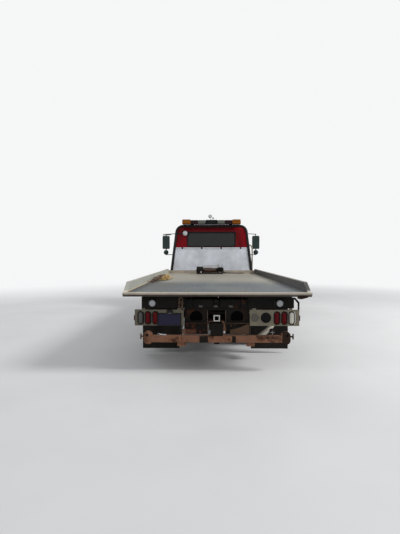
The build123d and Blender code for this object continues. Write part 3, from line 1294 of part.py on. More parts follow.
def stinger():
    """The stinger inside the boom, with its head and the swivel pin that carries the cross bar."""
    x1 = BOOM_X - BOOM_WALL - SLIDE_FIT
    z0, z1 = BOOM_Z[0] + BOOM_WALL + SLIDE_FIT, BOOM_Z[1] - BOOM_WALL - SLIDE_FIT
    made = block(-x1, x1, *STINGER_Y, z0, z1)
    made += block(-86, 86, CROSS_BAR_Y - 48, STINGER_Y[0] + 20, CROSS_BAR_Z[1] + 8, z1)
    made += rod_z(CROSS_BAR_Z[0] - 22, CROSS_BAR_Z[1] + 20, 0, CROSS_BAR_Y, SWIVEL_R)
    return made + rod_z(CROSS_BAR_Z[0] - 24, CROSS_BAR_Z[0] - 8, 0, CROSS_BAR_Y, SWIVEL_R + 14)


def cross_bar():
    """The wheel lift's cross bar, bored for the swivel pin, with a rounded claw plate at each end."""
    y0, y1 = CROSS_BAR_Y - 45, CROSS_BAR_Y + 45
    bar = block(-CROSS_BAR_X, CROSS_BAR_X, y0, y1, *CROSS_BAR_Z)
    bar -= rod_z(CROSS_BAR_Z[0] - 1, CROSS_BAR_Z[1] + 1, 0, CROSS_BAR_Y, SWIVEL_R + 0.05)
    for side in (-1, 1):
        x = side * (CROSS_BAR_X + 52)
        claw = Pos(x, CROSS_BAR_Y, 463) * Rot(90, 0, 0) * extrude(
            RectangleRounded(126, 176, 55), amount=34, both=True
        )
        claw -= rod_y(y0 - 1, y1 + 1, x + side * 12, 500, 21)
        bar += claw
        bar += rod_x(*sorted((side * (CROSS_BAR_X + 100), side * 1068)), CROSS_BAR_Y, 478, 11)
        bar += rod_z(440, 516, side * 1060, CROSS_BAR_Y, 10)
    return bar


def cylinder_pair(x, base, eye, barrel_r, rod_r, pin_r, gap, stroke):
    """A hydraulic cylinder at rest between its base pin and its rod's eye: the barrel, then the rod.
    The rod's eye holds the middle of its pin, which fills the gap between the cheeks there."""
    start = Vector(x, *base)
    end = Vector(x, *eye)
    run = end - start
    long = run.length
    plane = Plane(origin=start, x_dir=(1, 0, 0), z_dir=run)
    gland = long - 75
    neck = pin_r + 26
    barrel = extrude(plane.offset(neck) * Circle(barrel_r), amount=gland - neck)
    barrel += extrude(plane * Circle(24), amount=neck + 2)
    barrel += extrude(plane.offset(gland - 40) * Circle(barrel_r + 6), amount=40)
    barrel += rod_x(x - 26, x + 26, *base, pin_r + 16)
    barrel -= rod_x(x - 80, x + 80, *base, pin_r + 0.05)
    depth = stroke + 90
    barrel -= extrude(plane.offset(gland - depth - 10) * Circle(rod_r + 0.05), amount=depth + 20)
    rod = extrude(plane.offset(gland - depth) * Circle(rod_r), amount=long - gland + depth - pin_r)
    rod += rod_x(x - 26, x + 26, *eye, pin_r + 12)
    rod += rod_x(x - gap + SEAT_GAP, x + gap - SEAT_GAP, *eye, pin_r)
    return barrel, rod


TILT_STROKE = 235.0
LIFT_STROKE = 52.0
BED_BARREL_Y = (TILT_CROSS_Y[0] + 45, REAR_Y + 3105)
BED_BARREL_R = 46.0
BED_ROD_R = 24.0
BED_EYE_Y = BED_FRONT_Y - 217


def cylinders():
    """The tilt cylinders, the wheel lift's cylinder, and the long one that slides the bed."""
    barrel, rod = cylinder_pair(
        TILT_CYL_X, TILT_CYL_BASE, TILT_CYL_EYE, 46, 27, TILT_CYL_PIN, TILT_CYL_GAP, TILT_STROKE
    )
    NODES["tilt_barrels"] = both(barrel)
    NODES["tilt_rods"] = both(rod)
    barrel, rod = cylinder_pair(
        0, LIFT_CYL_BASE, LIFT_CYL_EYE, 30, 16, LIFT_CYL_PIN, LIFT_CYL_GAP, LIFT_STROKE
    )
    NODES["lift_barrel"] = barrel
    NODES["lift_rod"] = rod
    tube = rod_y(BED_BARREL_Y[0] + SEAT_GAP, BED_BARREL_Y[1], 0, BED_CYL_Z, BED_BARREL_R)
    tube -= rod_y(BED_BARREL_Y[0] + 60, BED_BARREL_Y[1] + 1, 0, BED_CYL_Z, BED_ROD_R + 0.05)
    NODES["bed_barrel"] = tube
    bed_rod = rod_y(BED_BARREL_Y[1] - 240, BED_EYE_Y + 10, 0, BED_CYL_Z, BED_ROD_R)
    bed_rod += rod_x(-32, 32, BED_EYE_Y, BED_CYL_Z, 34)
    low = BED_TOP - BED_PLATE - BED_BEAM - SEAT_GAP
    bed_rod += block(-32, 32, BED_EYE_Y - 30, BED_EYE_Y + 30, BED_CYL_Z, low)
    NODES["bed_rod"] = bed_rod


def wheel_lift():
    """The wheel lift's three moving pieces."""
    NODES["lift_boom"] = boom()
    NODES["stinger"] = stinger()
    NODES["cross_bar"] = cross_bar()


wheels()
chassis()
cab()
interior()
front_end()
mirror_nodes()
tilt_frame()
bed()
headboard()
winch()
wheel_lift()
cylinders()

for name, shape in NODES.items():
    export_step(shape, f"parts/{name}.step")
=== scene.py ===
# %% [markdown]
# A rollback tow truck, dressed around its CAD frame.
# The CAD holds every solid at its real size, so this script only adds the looks: paint, rust,
# dust, glass and lenses, and the small things that bolt on. Everything is in metres,
# +Y is forward, +X is the truck's right side and +Z is up.


# %% Load the frame
import math
import random

import bmesh
import bpy
from mathutils import Matrix, Vector


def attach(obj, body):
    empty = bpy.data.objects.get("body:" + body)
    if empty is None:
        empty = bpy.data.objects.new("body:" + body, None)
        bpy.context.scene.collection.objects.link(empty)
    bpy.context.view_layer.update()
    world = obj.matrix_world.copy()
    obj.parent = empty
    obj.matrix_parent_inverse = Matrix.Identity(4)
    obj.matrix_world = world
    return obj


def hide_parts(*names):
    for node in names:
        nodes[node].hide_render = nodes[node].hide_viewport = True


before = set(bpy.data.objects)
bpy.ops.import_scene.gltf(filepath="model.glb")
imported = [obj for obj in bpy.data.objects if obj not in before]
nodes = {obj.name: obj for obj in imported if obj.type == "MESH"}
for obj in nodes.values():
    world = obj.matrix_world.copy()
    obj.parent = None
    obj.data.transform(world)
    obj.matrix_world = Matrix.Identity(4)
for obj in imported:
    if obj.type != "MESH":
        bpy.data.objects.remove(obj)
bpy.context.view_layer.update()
rng = random.Random(7)


# %% [markdown]
# The photograph was taken from a few metres behind the truck, with a phone's wide lens. The lens
# and the vanishing point of the bed's long edges give the camera's place.


# %% Camera
LENS_MM = 25.0
SENSOR_MM = 36.0
CAMERA_PLACE = (-0.143, -9.349, 1.592)
CAMERA_DOWN_DEG = 1.62
CAMERA_LEFT_DEG = 1.0

camera_data = bpy.data.cameras.new("camera")
camera_data.lens = LENS_MM
camera_data.sensor_width = SENSOR_MM
camera = bpy.data.objects.new("camera", camera_data)
camera.location = CAMERA_PLACE
camera.rotation_euler = (math.radians(90 - CAMERA_DOWN_DEG), 0, math.radians(CAMERA_LEFT_DEG))
bpy.context.collection.objects.link(camera)
bpy.context.scene.camera = camera
bpy.context.scene.view_settings.view_transform = "Standard"
print("camera at", CAMERA_PLACE)


# %% [markdown]
# Every shader is put together from a few helpers. They add a node, feed its inputs, mix two
# colours, step a value between limits, and lay noise over a piece's own coordinates.


# %% Colours and shader helpers
def rgb(code):
    """A colour written as six hex digits, as the linear values that Blender's shaders take."""
    values = [int(code[i:i + 2], 16) / 255 for i in (0, 2, 4)]
    linear = [v / 12.92 if v <= 0.04045 else ((v + 0.055) / 1.055) ** 2.4 for v in values]
    return (*linear, 1.0)


def feed(tree, value, socket):
    """Links a socket to another one, or gives it a plain value."""
    if isinstance(value, bpy.types.NodeSocket):
        tree.links.new(value, socket)
    else:
        socket.default_value = value


def feed_inputs(tree, made, **values):
    """Feeds a node's inputs by their names, with underscores for spaces."""
    for name, value in values.items():
        feed(tree, value, made.inputs[name.replace("_", " ")])


def add_node(tree, kind, **settings):
    """A node of the given kind. A setting named after an input feeds it, the others set the node."""
    made = tree.nodes.new(kind)
    for name, value in settings.items():
        if name.replace("_", " ") in made.inputs:
            feed_inputs(tree, made, **{name: value})
        else:
            setattr(made, name, value)
    return made


def ramp(tree, source, stops):
    """A colour ramp on a value. stops are (position, colour) pairs."""
    made = add_node(tree, "ShaderNodeValToRGB", Fac=source)
    elements = made.color_ramp.elements
    while len(elements) < len(stops):
        elements.new(0.5)
    for element, (position, colour) in zip(elements, stops):
        element.position = position
        element.color = colour
    return made.outputs["Color"]


def mix_colour(tree, factor, low, high, blend="MIX"):
    """Mixes two colours, each a value or a socket, by a factor that is a value or a socket."""
    made = add_node(tree, "ShaderNodeMix", data_type="RGBA", blend_type=blend)
    sockets = {s.identifier: s for s in made.inputs}
    for key, value in (("Factor_Float", factor), ("A_Color", low), ("B_Color", high)):
        feed(tree, value, sockets[key])
    return next(s for s in made.outputs if s.identifier == "Result_Color")


def calc(tree, operation, *values, clamp=False):
    """A Math node on values or sockets."""
    made = add_node(tree, "ShaderNodeMath", operation=operation, use_clamp=clamp)
    for socket, value in zip(made.inputs, values):
        feed(tree, value, socket)
    return made.outputs[0]


print("mid grey is", round(rgb("808080")[0], 3), "as a linear value")


# %% [markdown]
# Masks and values: sums, soft steps, the piece's own coordinates, noise over them, and one mask for
# what a ray sees directly.


# %% Masks and values
def add_up(tree, *weighted):
    """The sum of a few sockets, each given with its weight."""
    total = 0.0
    for value, weight in weighted:
        total = calc(tree, "MULTIPLY_ADD", value, weight, total)
    return total


def towards(tree, value, target, mask):
    """A value that moves to its target where the mask is 1."""
    return calc(tree, "MULTIPLY_ADD", calc(tree, "SUBTRACT", target, value), mask, value)


def stepped(tree, value, low, high):
    """Maps a value to 0 below low and 1 above high, with a soft step between. Each may be a socket."""
    made = add_node(tree, "ShaderNodeMapRange", interpolation_type="SMOOTHSTEP")
    feed_inputs(tree, made, Value=value, From_Min=low, From_Max=high)
    return made.outputs["Result"]


def own_place(tree):
    """The piece's own coordinates, as three sockets named X, Y and Z."""
    place = add_node(tree, "ShaderNodeTexCoord").outputs["Object"]
    return add_node(tree, "ShaderNodeSeparateXYZ", Vector=place).outputs


def noise(tree, scale, detail=6.0, roughness=0.55, stretch=(1, 1, 1), offset=(0, 0, 0)):
    """Noise over the piece's own coordinates. stretch is its scale along each axis."""
    place = add_node(tree, "ShaderNodeTexCoord").outputs["Object"]
    shift = add_node(tree, "ShaderNodeMapping", Vector=place, Location=offset, Scale=stretch)
    made = add_node(tree, "ShaderNodeTexNoise", Scale=scale, Detail=detail, Roughness=roughness)
    feed_inputs(tree, made, Vector=shift.outputs["Vector"])
    return made.outputs["Fac"]


def seen_directly(tree):
    """1 for rays from the camera, from a mirror or through glass, and 0 for the light between pieces."""
    rays = add_node(tree, "ShaderNodeLightPath").outputs
    seen = calc(tree, "MAXIMUM", rays["Is Camera Ray"], rays["Is Glossy Ray"])
    return calc(tree, "MAXIMUM", seen, rays["Is Transmission Ray"])


def mix_shaders(tree, factor, low, high, end):
    """Mixes two shaders into the surface of the tree's output."""
    mixed = add_node(tree, "ShaderNodeMixShader")
    for socket, value in zip(mixed.inputs, (factor, low.outputs[0], high.outputs[0])):
        feed(tree, value, socket)
    feed_inputs(tree, end, Surface=mixed.outputs[0])


print("shader helpers ready")


# %% [markdown]
# The studio has a pale floor that runs out of sight, one broad key light, two weaker lights, and a
# pale surround that polished parts can mirror. The world shows white to the camera and to
# mirror rays, and lights the object at a plainer level.


# %% World and lights
SURROUND = {"Color": (0.96, 0.965, 0.97, 1), "Strength": 0.96}
ROOM_LIGHT = {"Color": (0.93, 0.95, 1.0, 1), "Strength": 0.45}
LAMPS = (
    # name, place, aimed at, size, watts
    ("key", (11.5, -5.0, 10.5), (0, -0.5, 1.0), 4.0, 1750),
    ("fill", (-11.0, -7.0, 6.0), (0, 0, 1.0), 7.0, 260),
    ("front", (-9.0, 12.0, 8.0), (0, 1, 1.2), 6.0, 520),
)

world = bpy.data.worlds.new("studio")
bpy.context.scene.world = world
world.use_nodes = True
sky = world.node_tree
sky.nodes.clear()
plain = add_node(sky, "ShaderNodeBackground", **ROOM_LIGHT)
shown = add_node(sky, "ShaderNodeBackground", **SURROUND)
mix_shaders(sky, seen_directly(sky), plain, shown, add_node(sky, "ShaderNodeOutputWorld"))

for name, place, aim, size, watts in LAMPS:
    data = bpy.data.lights.new(name, "AREA")
    data.size = size
    data.energy = watts
    lamp = bpy.data.objects.new(name, data)
    lamp.location = place
    lamp.rotation_euler = (Vector(aim) - Vector(place)).to_track_quat("-Z", "Y").to_euler()
    bpy.context.collection.objects.link(lamp)
print("studio lamps:", len(LAMPS))


# %% [markdown]
# The floor is one large square under the wheels. It belongs to the stage, not to the truck.


# %% Floor
FLOOR_HALF = 90.0
corners = [(x * FLOOR_HALF, y * FLOOR_HALF, 0) for x, y in ((-1, -1), (1, -1), (1, 1), (-1, 1))]
floor_mesh = bpy.data.meshes.new("floor")
floor_mesh.from_pydata(corners, [], [(0, 1, 2, 3)])
floor = bpy.data.objects.new("floor", floor_mesh)
bpy.context.collection.objects.link(floor)
print("floor:", 2 * FLOOR_HALF, "m wide")


# %% [markdown]
# Rust, road dust and rubbed edges are on nearly every piece of a working truck. Each is built once,
# as a shader node group with named inputs, and every paint takes it with its own amounts. A group
# gives out only colours and masks, so each material keeps its own Principled BSDF.


# %% Shader groups
def new_group(name, outputs, **inputs):
    """A shader group. inputs are numbers or colours by name. Of its outputs, Colour is a colour."""
    tree = bpy.data.node_groups.new(name, "ShaderNodeTree")
    for label, value in inputs.items():
        kind = "NodeSocketFloat" if isinstance(value, float) else "NodeSocketColor"
        socket = tree.interface.new_socket(label.replace("_", " "), in_out="INPUT", socket_type=kind)
        socket.default_value = value
    for label in outputs:
        kind = "NodeSocketColor" if label == "Colour" else "NodeSocketFloat"
        tree.interface.new_socket(label, in_out="OUTPUT", socket_type=kind)
    return tree, tree.nodes.new("NodeGroupInput").outputs, tree.nodes.new("NodeGroupOutput")


def scaled_noise(tree, scale, factor, detail=5.0, stretch=(1, 1, 1)):
    """Noise whose scale is a socket times a factor."""
    return noise(tree, calc(tree, "MULTIPLY", scale, factor), detail, 0.6, stretch)


def make_dust_group():
    """Road dust: thickest on what faces up and low on the truck, in uneven patches."""
    tree, given, made = new_group(
        "road_dust", ("Colour", "Roughness", "Mask"),
        Colour=rgb("808080"), Roughness=0.5, Dust_Colour=rgb("8c8173"), Dust=0.3, Scale=3.0,
    )
    normal = add_node(tree, "ShaderNodeNewGeometry").outputs["Normal"]
    up = stepped(tree, add_node(tree, "ShaderNodeSeparateXYZ", Vector=normal).outputs["Z"], 0.1, 1.0)
    low = stepped(tree, calc(tree, "SUBTRACT", 1.1, own_place(tree)["Z"]), 0.0, 0.9)
    patches = stepped(tree, scaled_noise(tree, given["Scale"], 1.0), 0.35, 0.7)
    specks = stepped(tree, scaled_noise(tree, given["Scale"], 14.0), 0.4, 0.75)
    spread = add_up(tree, (up, 0.55), (low, 0.5), (patches, 0.55), (specks, 0.25))
    mask = calc(tree, "MULTIPLY", spread, given["Dust"], clamp=True)
    colour = mix_colour(tree, mask, given["Colour"], given["Dust Colour"])
    rough = towards(tree, given["Roughness"], 0.95, mask)
    feed_inputs(tree, made, Colour=colour, Roughness=rough, Mask=mask)
    return tree


def make_rust_group():
    """Rust: blotches with ragged borders, dark where old and orange where fresh, and pitted."""
    tree, given, made = new_group(
        "rust", ("Colour", "Roughness", "Mask", "Height"),
        Colour=rgb("808080"), Roughness=0.5, Rust=0.3, Tone=1.0, Scale=4.0,
    )
    scale = given["Scale"]
    blotch = scaled_noise(tree, scale, 1.0, 8.0)
    ragged = scaled_noise(tree, scale, 11.0, 6.0)
    field = add_up(tree, (blotch, 0.72), (ragged, 0.28))
    edge = calc(tree, "MULTIPLY_ADD", given["Rust"], -0.42, 0.70)
    mask = stepped(tree, field, edge, calc(tree, "ADD", edge, 0.06))
    rusty = ramp(tree, scaled_noise(tree, scale, 5.0, 9.0), [
        (0.30, rgb("2c1710")), (0.45, rgb("4e2c1d")), (0.58, rgb("6f4530")), (0.72, rgb("93583a")),
    ])
    rusty = mix_colour(tree, given["Tone"], rgb("120a08"), rusty)
    colour = mix_colour(tree, mask, given["Colour"], rusty)
    rough = towards(tree, given["Roughness"], 0.9, mask)
    pits = calc(tree, "MULTIPLY", mask, scaled_noise(tree, scale, 40.0, 3.0))
    feed_inputs(tree, made, Colour=colour, Roughness=rough, Mask=mask, Height=pits)
    return tree


def make_wear_group():
    """Rubbed edges: the mask is 1 where a corner lies within Width, broken up by noise."""
    tree, given, made = new_group("rubbed_edges", ("Mask",), Width=0.006, Wear=0.5, Scale=20.0)
    bevel = add_node(tree, "ShaderNodeBevel", samples=4, Radius=given["Width"])
    dot = add_node(tree, "ShaderNodeVectorMath", operation="DOT_PRODUCT")
    feed(tree, bevel.outputs[0], dot.inputs[0])
    feed(tree, add_node(tree, "ShaderNodeNewGeometry").outputs["Normal"], dot.inputs[1])
    edge = stepped(tree, calc(tree, "SUBTRACT", 1.0, dot.outputs["Value"]), 0.02, 0.16)
    limit = calc(tree, "MULTIPLY_ADD", given["Wear"], -0.5, 0.72)
    broken = stepped(tree, scaled_noise(tree, given["Scale"], 1.0, 6.0), limit, 0.78)
    feed_inputs(tree, made, Mask=calc(tree, "MULTIPLY", edge, broken, clamp=True))
    return tree


def make_scratch_group():
    """Long scratches: one set of stretched noise along Y, and a weaker one along X."""
    tree, given, made = new_group("scratches", ("Mask",), Scale=4.0, Amount=0.5)
    limit = calc(tree, "MULTIPLY_ADD", given["Amount"], -0.16, 0.72)
    sets = []
    for factor, stretch, soft in ((6.0, (9, 0.35, 1), 0.05), (3.0, (1.2, 7, 1), 0.06)):
        lines = scaled_noise(tree, given["Scale"], factor, 2.0, stretch)
        sets.append(stepped(tree, lines, limit, calc(tree, "ADD", limit, soft)))
    weaker = calc(tree, "MULTIPLY", sets[1], 0.6)
    feed_inputs(tree, made, Mask=calc(tree, "MAXIMUM", sets[0], weaker))
    return tree


DUST = make_dust_group()
RUST = make_rust_group()
WEAR = make_wear_group()
SCRATCH = make_scratch_group()
print("shader groups", [g.name for g in (DUST, RUST, WEAR, SCRATCH)])


# %% [markdown]
# A worn paint is built from the bottom up: the paint, bare metal where edges are rubbed, rust that
# breaks through it, then dust on top of all. One function places the groups in that order, and
# each finish of the truck is one call to it with its own colours and amounts.


# %% Worn paint
def use_group(tree, group, **values):
    """A group placed in a material. Each value is a number, a colour or a socket."""
    made = add_node(tree, "ShaderNodeGroup", node_tree=group)
    feed_inputs(tree, made, **values)
    return made.outputs


def new_material(name):
    """A material with a Principled BSDF, and its node tree."""
    made = bpy.data.materials.new(name)
    made.use_nodes = True
    return made, made.node_tree, made.node_tree.nodes["Principled BSDF"]


def bump(tree, shader, height, distance):
    """Feeds a height into the shader's normal. distance is in metres."""
    made = add_node(tree, "ShaderNodeBump", Strength=1.0, Distance=distance, Height=height)
    feed_inputs(tree, shader, Normal=made.outputs[0])


def worn_paint(name, colour, roughness=0.5, metallic=0.0, rust=0.15, dust=0.3, wear=0.0, bare="77746c",
               scale=4.0, grain=0.0004, coat=0.0, tone=1.0, shine=0.5):
    """Paint or bare metal with rubbed edges, rust and dust, each to its own amount."""
    made, tree, shader = new_material(name)
    shade = noise(tree, scale * 2.2, 4.0)
    low, high = ((*(min(1, c * part) for c in rgb(colour)[:3]), 1) for part in (0.78, 1.18))
    tint = ramp(tree, shade, [(0.3, low), (0.7, high)])
    rough = calc(tree, "MULTIPLY_ADD", calc(tree, "SUBTRACT", shade, 0.5), 0.25, roughness)
    if wear:
        rubbed = use_group(tree, WEAR, Wear=wear, Scale=scale * 9)["Mask"]
        tint = mix_colour(tree, rubbed, tint, rgb(bare))
    rusty = use_group(tree, RUST, Colour=tint, Roughness=rough, Rust=rust, Tone=tone, Scale=scale)
    dusty = use_group(tree, DUST, Colour=rusty["Colour"], Roughness=rusty["Roughness"], Dust=dust,
                      Scale=scale * 0.8)
    feed_inputs(tree, shader, Base_Color=dusty["Colour"], Roughness=dusty["Roughness"],
                Specular_IOR_Level=shine)
    if metallic or coat:
        clean = calc(tree, "SUBTRACT", 1.0, calc(tree, "MAXIMUM", rusty["Mask"], dusty["Mask"]))
    if metallic:
        feed_inputs(tree, shader, Metallic=calc(tree, "MULTIPLY", clean, metallic))
    if coat:
        feed_inputs(tree, shader, Coat_Weight=calc(tree, "MULTIPLY", clean, coat), Coat_Roughness=0.08)
    fine = calc(tree, "MULTIPLY", noise(tree, scale * 60, 3.0), 0.4)
    bump(tree, shader, calc(tree, "ADD", fine, rusty["Height"]), grain)
    return made


print("worn paint lays", DUST.name, "over", RUST.name, "over", WEAR.name)


# %% [markdown]
# Each paint and metal on the truck, from its colour in the photograph. The bed and its edges are bare
# worn metal, the tail is rust over brown paint, darkened near black as painted shade, the frame under the
# bed is black paint darkened further as painted shade, and the chassis is black paint under road dust.


# %% Finishes for the frame
tyre_rubber = worn_paint("tyre_rubber", "1a1a1c", 0.88, rust=0.0, dust=0.5, scale=6.0, grain=0.0012,
                         shine=0.25)
rim_paint = worn_paint("rim_paint", "b4b3ac", 0.45, rust=0.28, dust=0.5, scale=7.0)
chassis_black = worn_paint("chassis_black", "0e0d0e", 0.6, rust=0.25, dust=0.12, scale=5.0, tone=0.35,
                           shine=0.25)
cab_red = worn_paint("cab_red", "7c0310", 0.42, rust=0.0, dust=0.0, scale=2.0, grain=0.00005, coat=0.06,
                     shine=0.12)
hoop_black = worn_paint("hoop_black", "040405", 0.4, rust=0.03, dust=0.03, wear=0.3, bare="3c3a36",
                        scale=5.0, shine=0.25)
interior_grey = worn_paint("interior_grey", "38373a", 0.75, rust=0.0, dust=0.12, scale=9.0, grain=0.0006)
edge_metal = worn_paint("edge_metal", "a2988a", 0.5, metallic=0.35, rust=0.12, dust=0.2, wear=0.7,
                        bare="e2dccf", scale=3.0)
# Near black: the frame under the bed is black paint, darkened further as painted shade.
bed_frame_black_and_shade = worn_paint("bed_frame_black_and_shade", "070605", 0.7, rust=0.30, dust=0.05, tone=0.35, shine=0.15)
panel_pale = worn_paint("panel_pale", "cfd3da", 0.5, rust=0.0, dust=0.10, scale=1.4, grain=0.0004)
plate_cream = worn_paint("plate_cream", "7e7764", 0.5, metallic=0.15, rust=0.10, dust=0.2, wear=0.5,
                         scale=6.0)
# Near black brown: the tail's paint, darkened further as painted shade under the bed.
tail_brown_and_shade = worn_paint("tail_brown_and_shade", "0a0706", 0.7, rust=0.32, dust=0.04, wear=0.5, bare="5e4438",
                        scale=3.5, tone=0.35, shine=0.15)
lift_rust = worn_paint("lift_rust", "91644b", 0.8, rust=0.42, dust=0.12, wear=0.6, bare="b58d70",
                       scale=5.0, grain=0.0012, tone=0.85, shine=0.2)
cylinder_black = worn_paint("cylinder_black", "070708", 0.5, rust=0.10, dust=0.08, scale=8.0, tone=0.5,
                            shine=0.25)
winch_brown = worn_paint("winch_brown", "070504", 0.7, rust=0.22, dust=0.06, wear=0.4, scale=9.0, tone=0.4,
                         shine=0.15)
mirror_black = worn_paint("mirror_black", "1c2426", 0.45, rust=0.0, dust=0.15, scale=8.0, shine=0.3)
flap_rubber = worn_paint("flap_rubber", "0a0b0c", 0.9, rust=0.0, dust=0.1, scale=5.0, grain=0.0008,
                         shine=0.15)
black_rubber = worn_paint("black_rubber", "0b0b0c", 0.7, rust=0.0, dust=0.06, scale=9.0, shine=0.25)
# Painted shade: a near black finish for the keyholes, the tail's two holes and behind the grille.
painted_shade_black = worn_paint("painted_shade_black", "030303", 0.9, rust=0.1, dust=0.0, scale=9.0, tone=0.3, shine=0.05)
tank_metal = worn_paint("tank_metal", "b3b5b8", 0.3, metallic=0.9, rust=0.02, dust=0.4, scale=4.0)
print("plain finishes:", len(bpy.data.materials))


# %% [markdown]
# Some surfaces need a recipe of their own: the scratched deck, the side rails in two colours, chrome,
# glass and moulded lenses.


# %% Deck, rails, chrome, glass and lenses
def make_bed_steel():
    """The deck: bare steel with long scratches, oily patches and dry earth in front."""
    made, tree, shader = new_material("bed_steel")
    broad = noise(tree, 1.1, 5.0, stretch=(1.6, 0.6, 1))
    tone = ramp(tree, broad, [
        (0.30, rgb("3b4248")), (0.46, rgb("4f565b")), (0.60, rgb("626663")), (0.75, rgb("7a786f")),
    ])
    lines = use_group(tree, SCRATCH, Scale=3.0, Amount=0.75)["Mask"]
    tone = mix_colour(tree, calc(tree, "MULTIPLY", lines, 0.45), tone, rgb("a9aaa6"))
    oil = ramp(tree, noise(tree, 2.3, 6.0, offset=(5, 2, 0)), [(0.60, rgb("000000")), (0.74, rgb("ffffff"))])
    tone = mix_colour(tree, calc(tree, "MULTIPLY", oil, 0.45), tone, rgb("3f4346"))
    rusty = use_group(tree, RUST, Colour=tone, Roughness=0.5, Rust=0.2, Scale=2.2)
    near_front = stepped(tree, own_place(tree)["Y"], 0.2, 1.3)
    ragged = stepped(tree, noise(tree, 5.0, 7.0), 0.35, 0.6)
    earth = calc(tree, "MULTIPLY", near_front, calc(tree, "MULTIPLY", ragged, 0.7))
    rough = calc(tree, "MULTIPLY_ADD", broad, 0.5, calc(tree, "MULTIPLY", rusty["Mask"], 0.3))
    bare = calc(tree, "SUBTRACT", 0.3, calc(tree, "MAXIMUM", rusty["Mask"], earth), clamp=True)
    feed_inputs(
        tree, shader, Base_Color=mix_colour(tree, earth, rusty["Colour"], rgb("a3977c")),
        Roughness=calc(tree, "ADD", rough, 0.30, clamp=True), Metallic=bare, Specular_IOR_Level=0.3,
    )
    bump(tree, shader, calc(tree, "ADD", calc(tree, "MULTIPLY", lines, -0.6), noise(tree, 40.0, 3.0)), 0.0006)
    return made


def make_side_rail():
    """The side rails: one paint, pale grey-green on the left rail as painted light, near black on the right
    rail as painted shade.
    """
    made, tree, shader = new_material("side_rail_paint")
    # Painted light and shade: the left rail is lit pale, the right rail shaded near black.
    right = stepped(tree, own_place(tree)["X"], -0.1, 0.1)
    tint = mix_colour(tree, right, rgb("b2b4aa"), rgb("16181a"))
    streak = noise(tree, 3.0, 6.0, stretch=(1, 0.5, 4))
    streak = ramp(tree, streak, [(0.35, rgb("2c2e2c")), (0.65, rgb("a9a598"))])
    tint = mix_colour(tree, 0.16, tint, streak)
    rubbed = use_group(tree, WEAR, Width=0.012, Wear=0.9, Scale=30.0)["Mask"]
    tint = mix_colour(tree, rubbed, tint, rgb("bdb8a8"))
    rusty = use_group(tree, RUST, Colour=tint, Roughness=0.5, Rust=0.2, Scale=4.0)
    dusty = use_group(tree, DUST, Colour=rusty["Colour"], Roughness=rusty["Roughness"],
                      Dust_Colour=rgb("a19680"), Dust=0.14, Scale=4.0)
    feed_inputs(tree, shader, Base_Color=dusty["Colour"], Roughness=dusty["Roughness"])
    bump(tree, shader, calc(tree, "ADD", rusty["Height"], noise(tree, 30.0, 3.0)), 0.0008)
    return made


def make_chrome(name, colour="c9cacc", roughness=0.12, dust=0.3):
    """Polished plate, dulled by a film of dust and fine swirls."""
    made, tree, shader = new_material(name)
    film = use_group(tree, DUST, Colour=rgb(colour), Roughness=roughness, Dust=dust, Scale=5.0)
    swirls = calc(tree, "MULTIPLY_ADD", noise(tree, 120.0, 2.0), 0.12, film["Roughness"])
    feed_inputs(tree, shader, Base_Color=film["Colour"], Roughness=swirls,
                Metallic=calc(tree, "SUBTRACT", 1.0, film["Mask"]))
    bump(tree, shader, noise(tree, 25.0, 2.0), 0.0001)
    return made


def make_glass(name, tint, haze):
    """Tinted glass with a film of dust, which shows in its colour and roughness."""
    made, tree, shader = new_material(name)
    film = use_group(tree, DUST, Colour=rgb(tint), Roughness=0.02, Dust=haze, Scale=3.0)
    feed_inputs(tree, shader, Base_Color=film["Colour"], Roughness=film["Roughness"],
                Transmission_Weight=1.0, IOR=1.45)
    bump(tree, shader, noise(tree, 8.0, 2.0), 0.0002)
    return made


def make_lens(name, colour, glow=0.0, rib=90.0):
    """A moulded lens: coloured plastic with a faint glow, and fine upright ribs in its surface, which also
    darken its colour in stripes as painted shade.
    """
    made, tree, shader = new_material(name)
    film = use_group(tree, DUST, Colour=rgb(colour), Roughness=0.2, Dust=0.0, Scale=8.0)
    wave = calc(tree, "SINE", calc(tree, "MULTIPLY", own_place(tree)["X"], rib * 2 * math.pi))
    shade = calc(tree, "MULTIPLY_ADD", wave, 0.16, 0.84)
    feed_inputs(
        tree, shader, Base_Color=mix_colour(tree, 1.0, film["Colour"], shade, "MULTIPLY"),
        Roughness=film["Roughness"], Coat_Weight=0.02, Specular_IOR_Level=0.1,
        Emission_Color=mix_colour(tree, 1.0, rgb(colour), shade, "MULTIPLY"), Emission_Strength=glow,
    )
    bump(tree, shader, wave, 0.0006)
    return made


bed_steel = make_bed_steel()
side_rail_paint = make_side_rail()
bumper_chrome = make_chrome("bumper_chrome")
rod_chrome = make_chrome("rod_chrome", "b9babd", 0.18, 0.4)
cab_glass = make_glass("cab_glass", "1a2626", 0.03)
red_lens = make_lens("red_lens", "6a0109", 0.03)
bar_red_lens = make_lens("bar_red_lens", "240306")
amber_lens = make_lens("amber_lens", "8a5000", 0.03)
clear_lens = make_lens("clear_lens", "6c6e66")
headlamp_lens = make_lens("headlamp_lens", "cfd2d2", rib=60.0)
print("finishes so far:", len(bpy.data.materials))


# %% [markdown]
# Some marks belong to one place: the dirt along the left rail's foot, the worn band before the rear
# edge, and rust on the tail's two brackets. Others are painted light and shade: the rear edge's shaded
# lower half and lit upper lip, the shade and lit top of the rails, the deck's darker left rear and in part
# its pale middle, the left lamp plate and the right clear tail lens. Each is a local tint, mixed into a
# finish between limits along the axes. Later tints of a finish lie over earlier ones.


# %% Local tints
TAIL_FACE = (-4.3, -4.1515)
REAR_EDGE = (-4.4, -4.26)


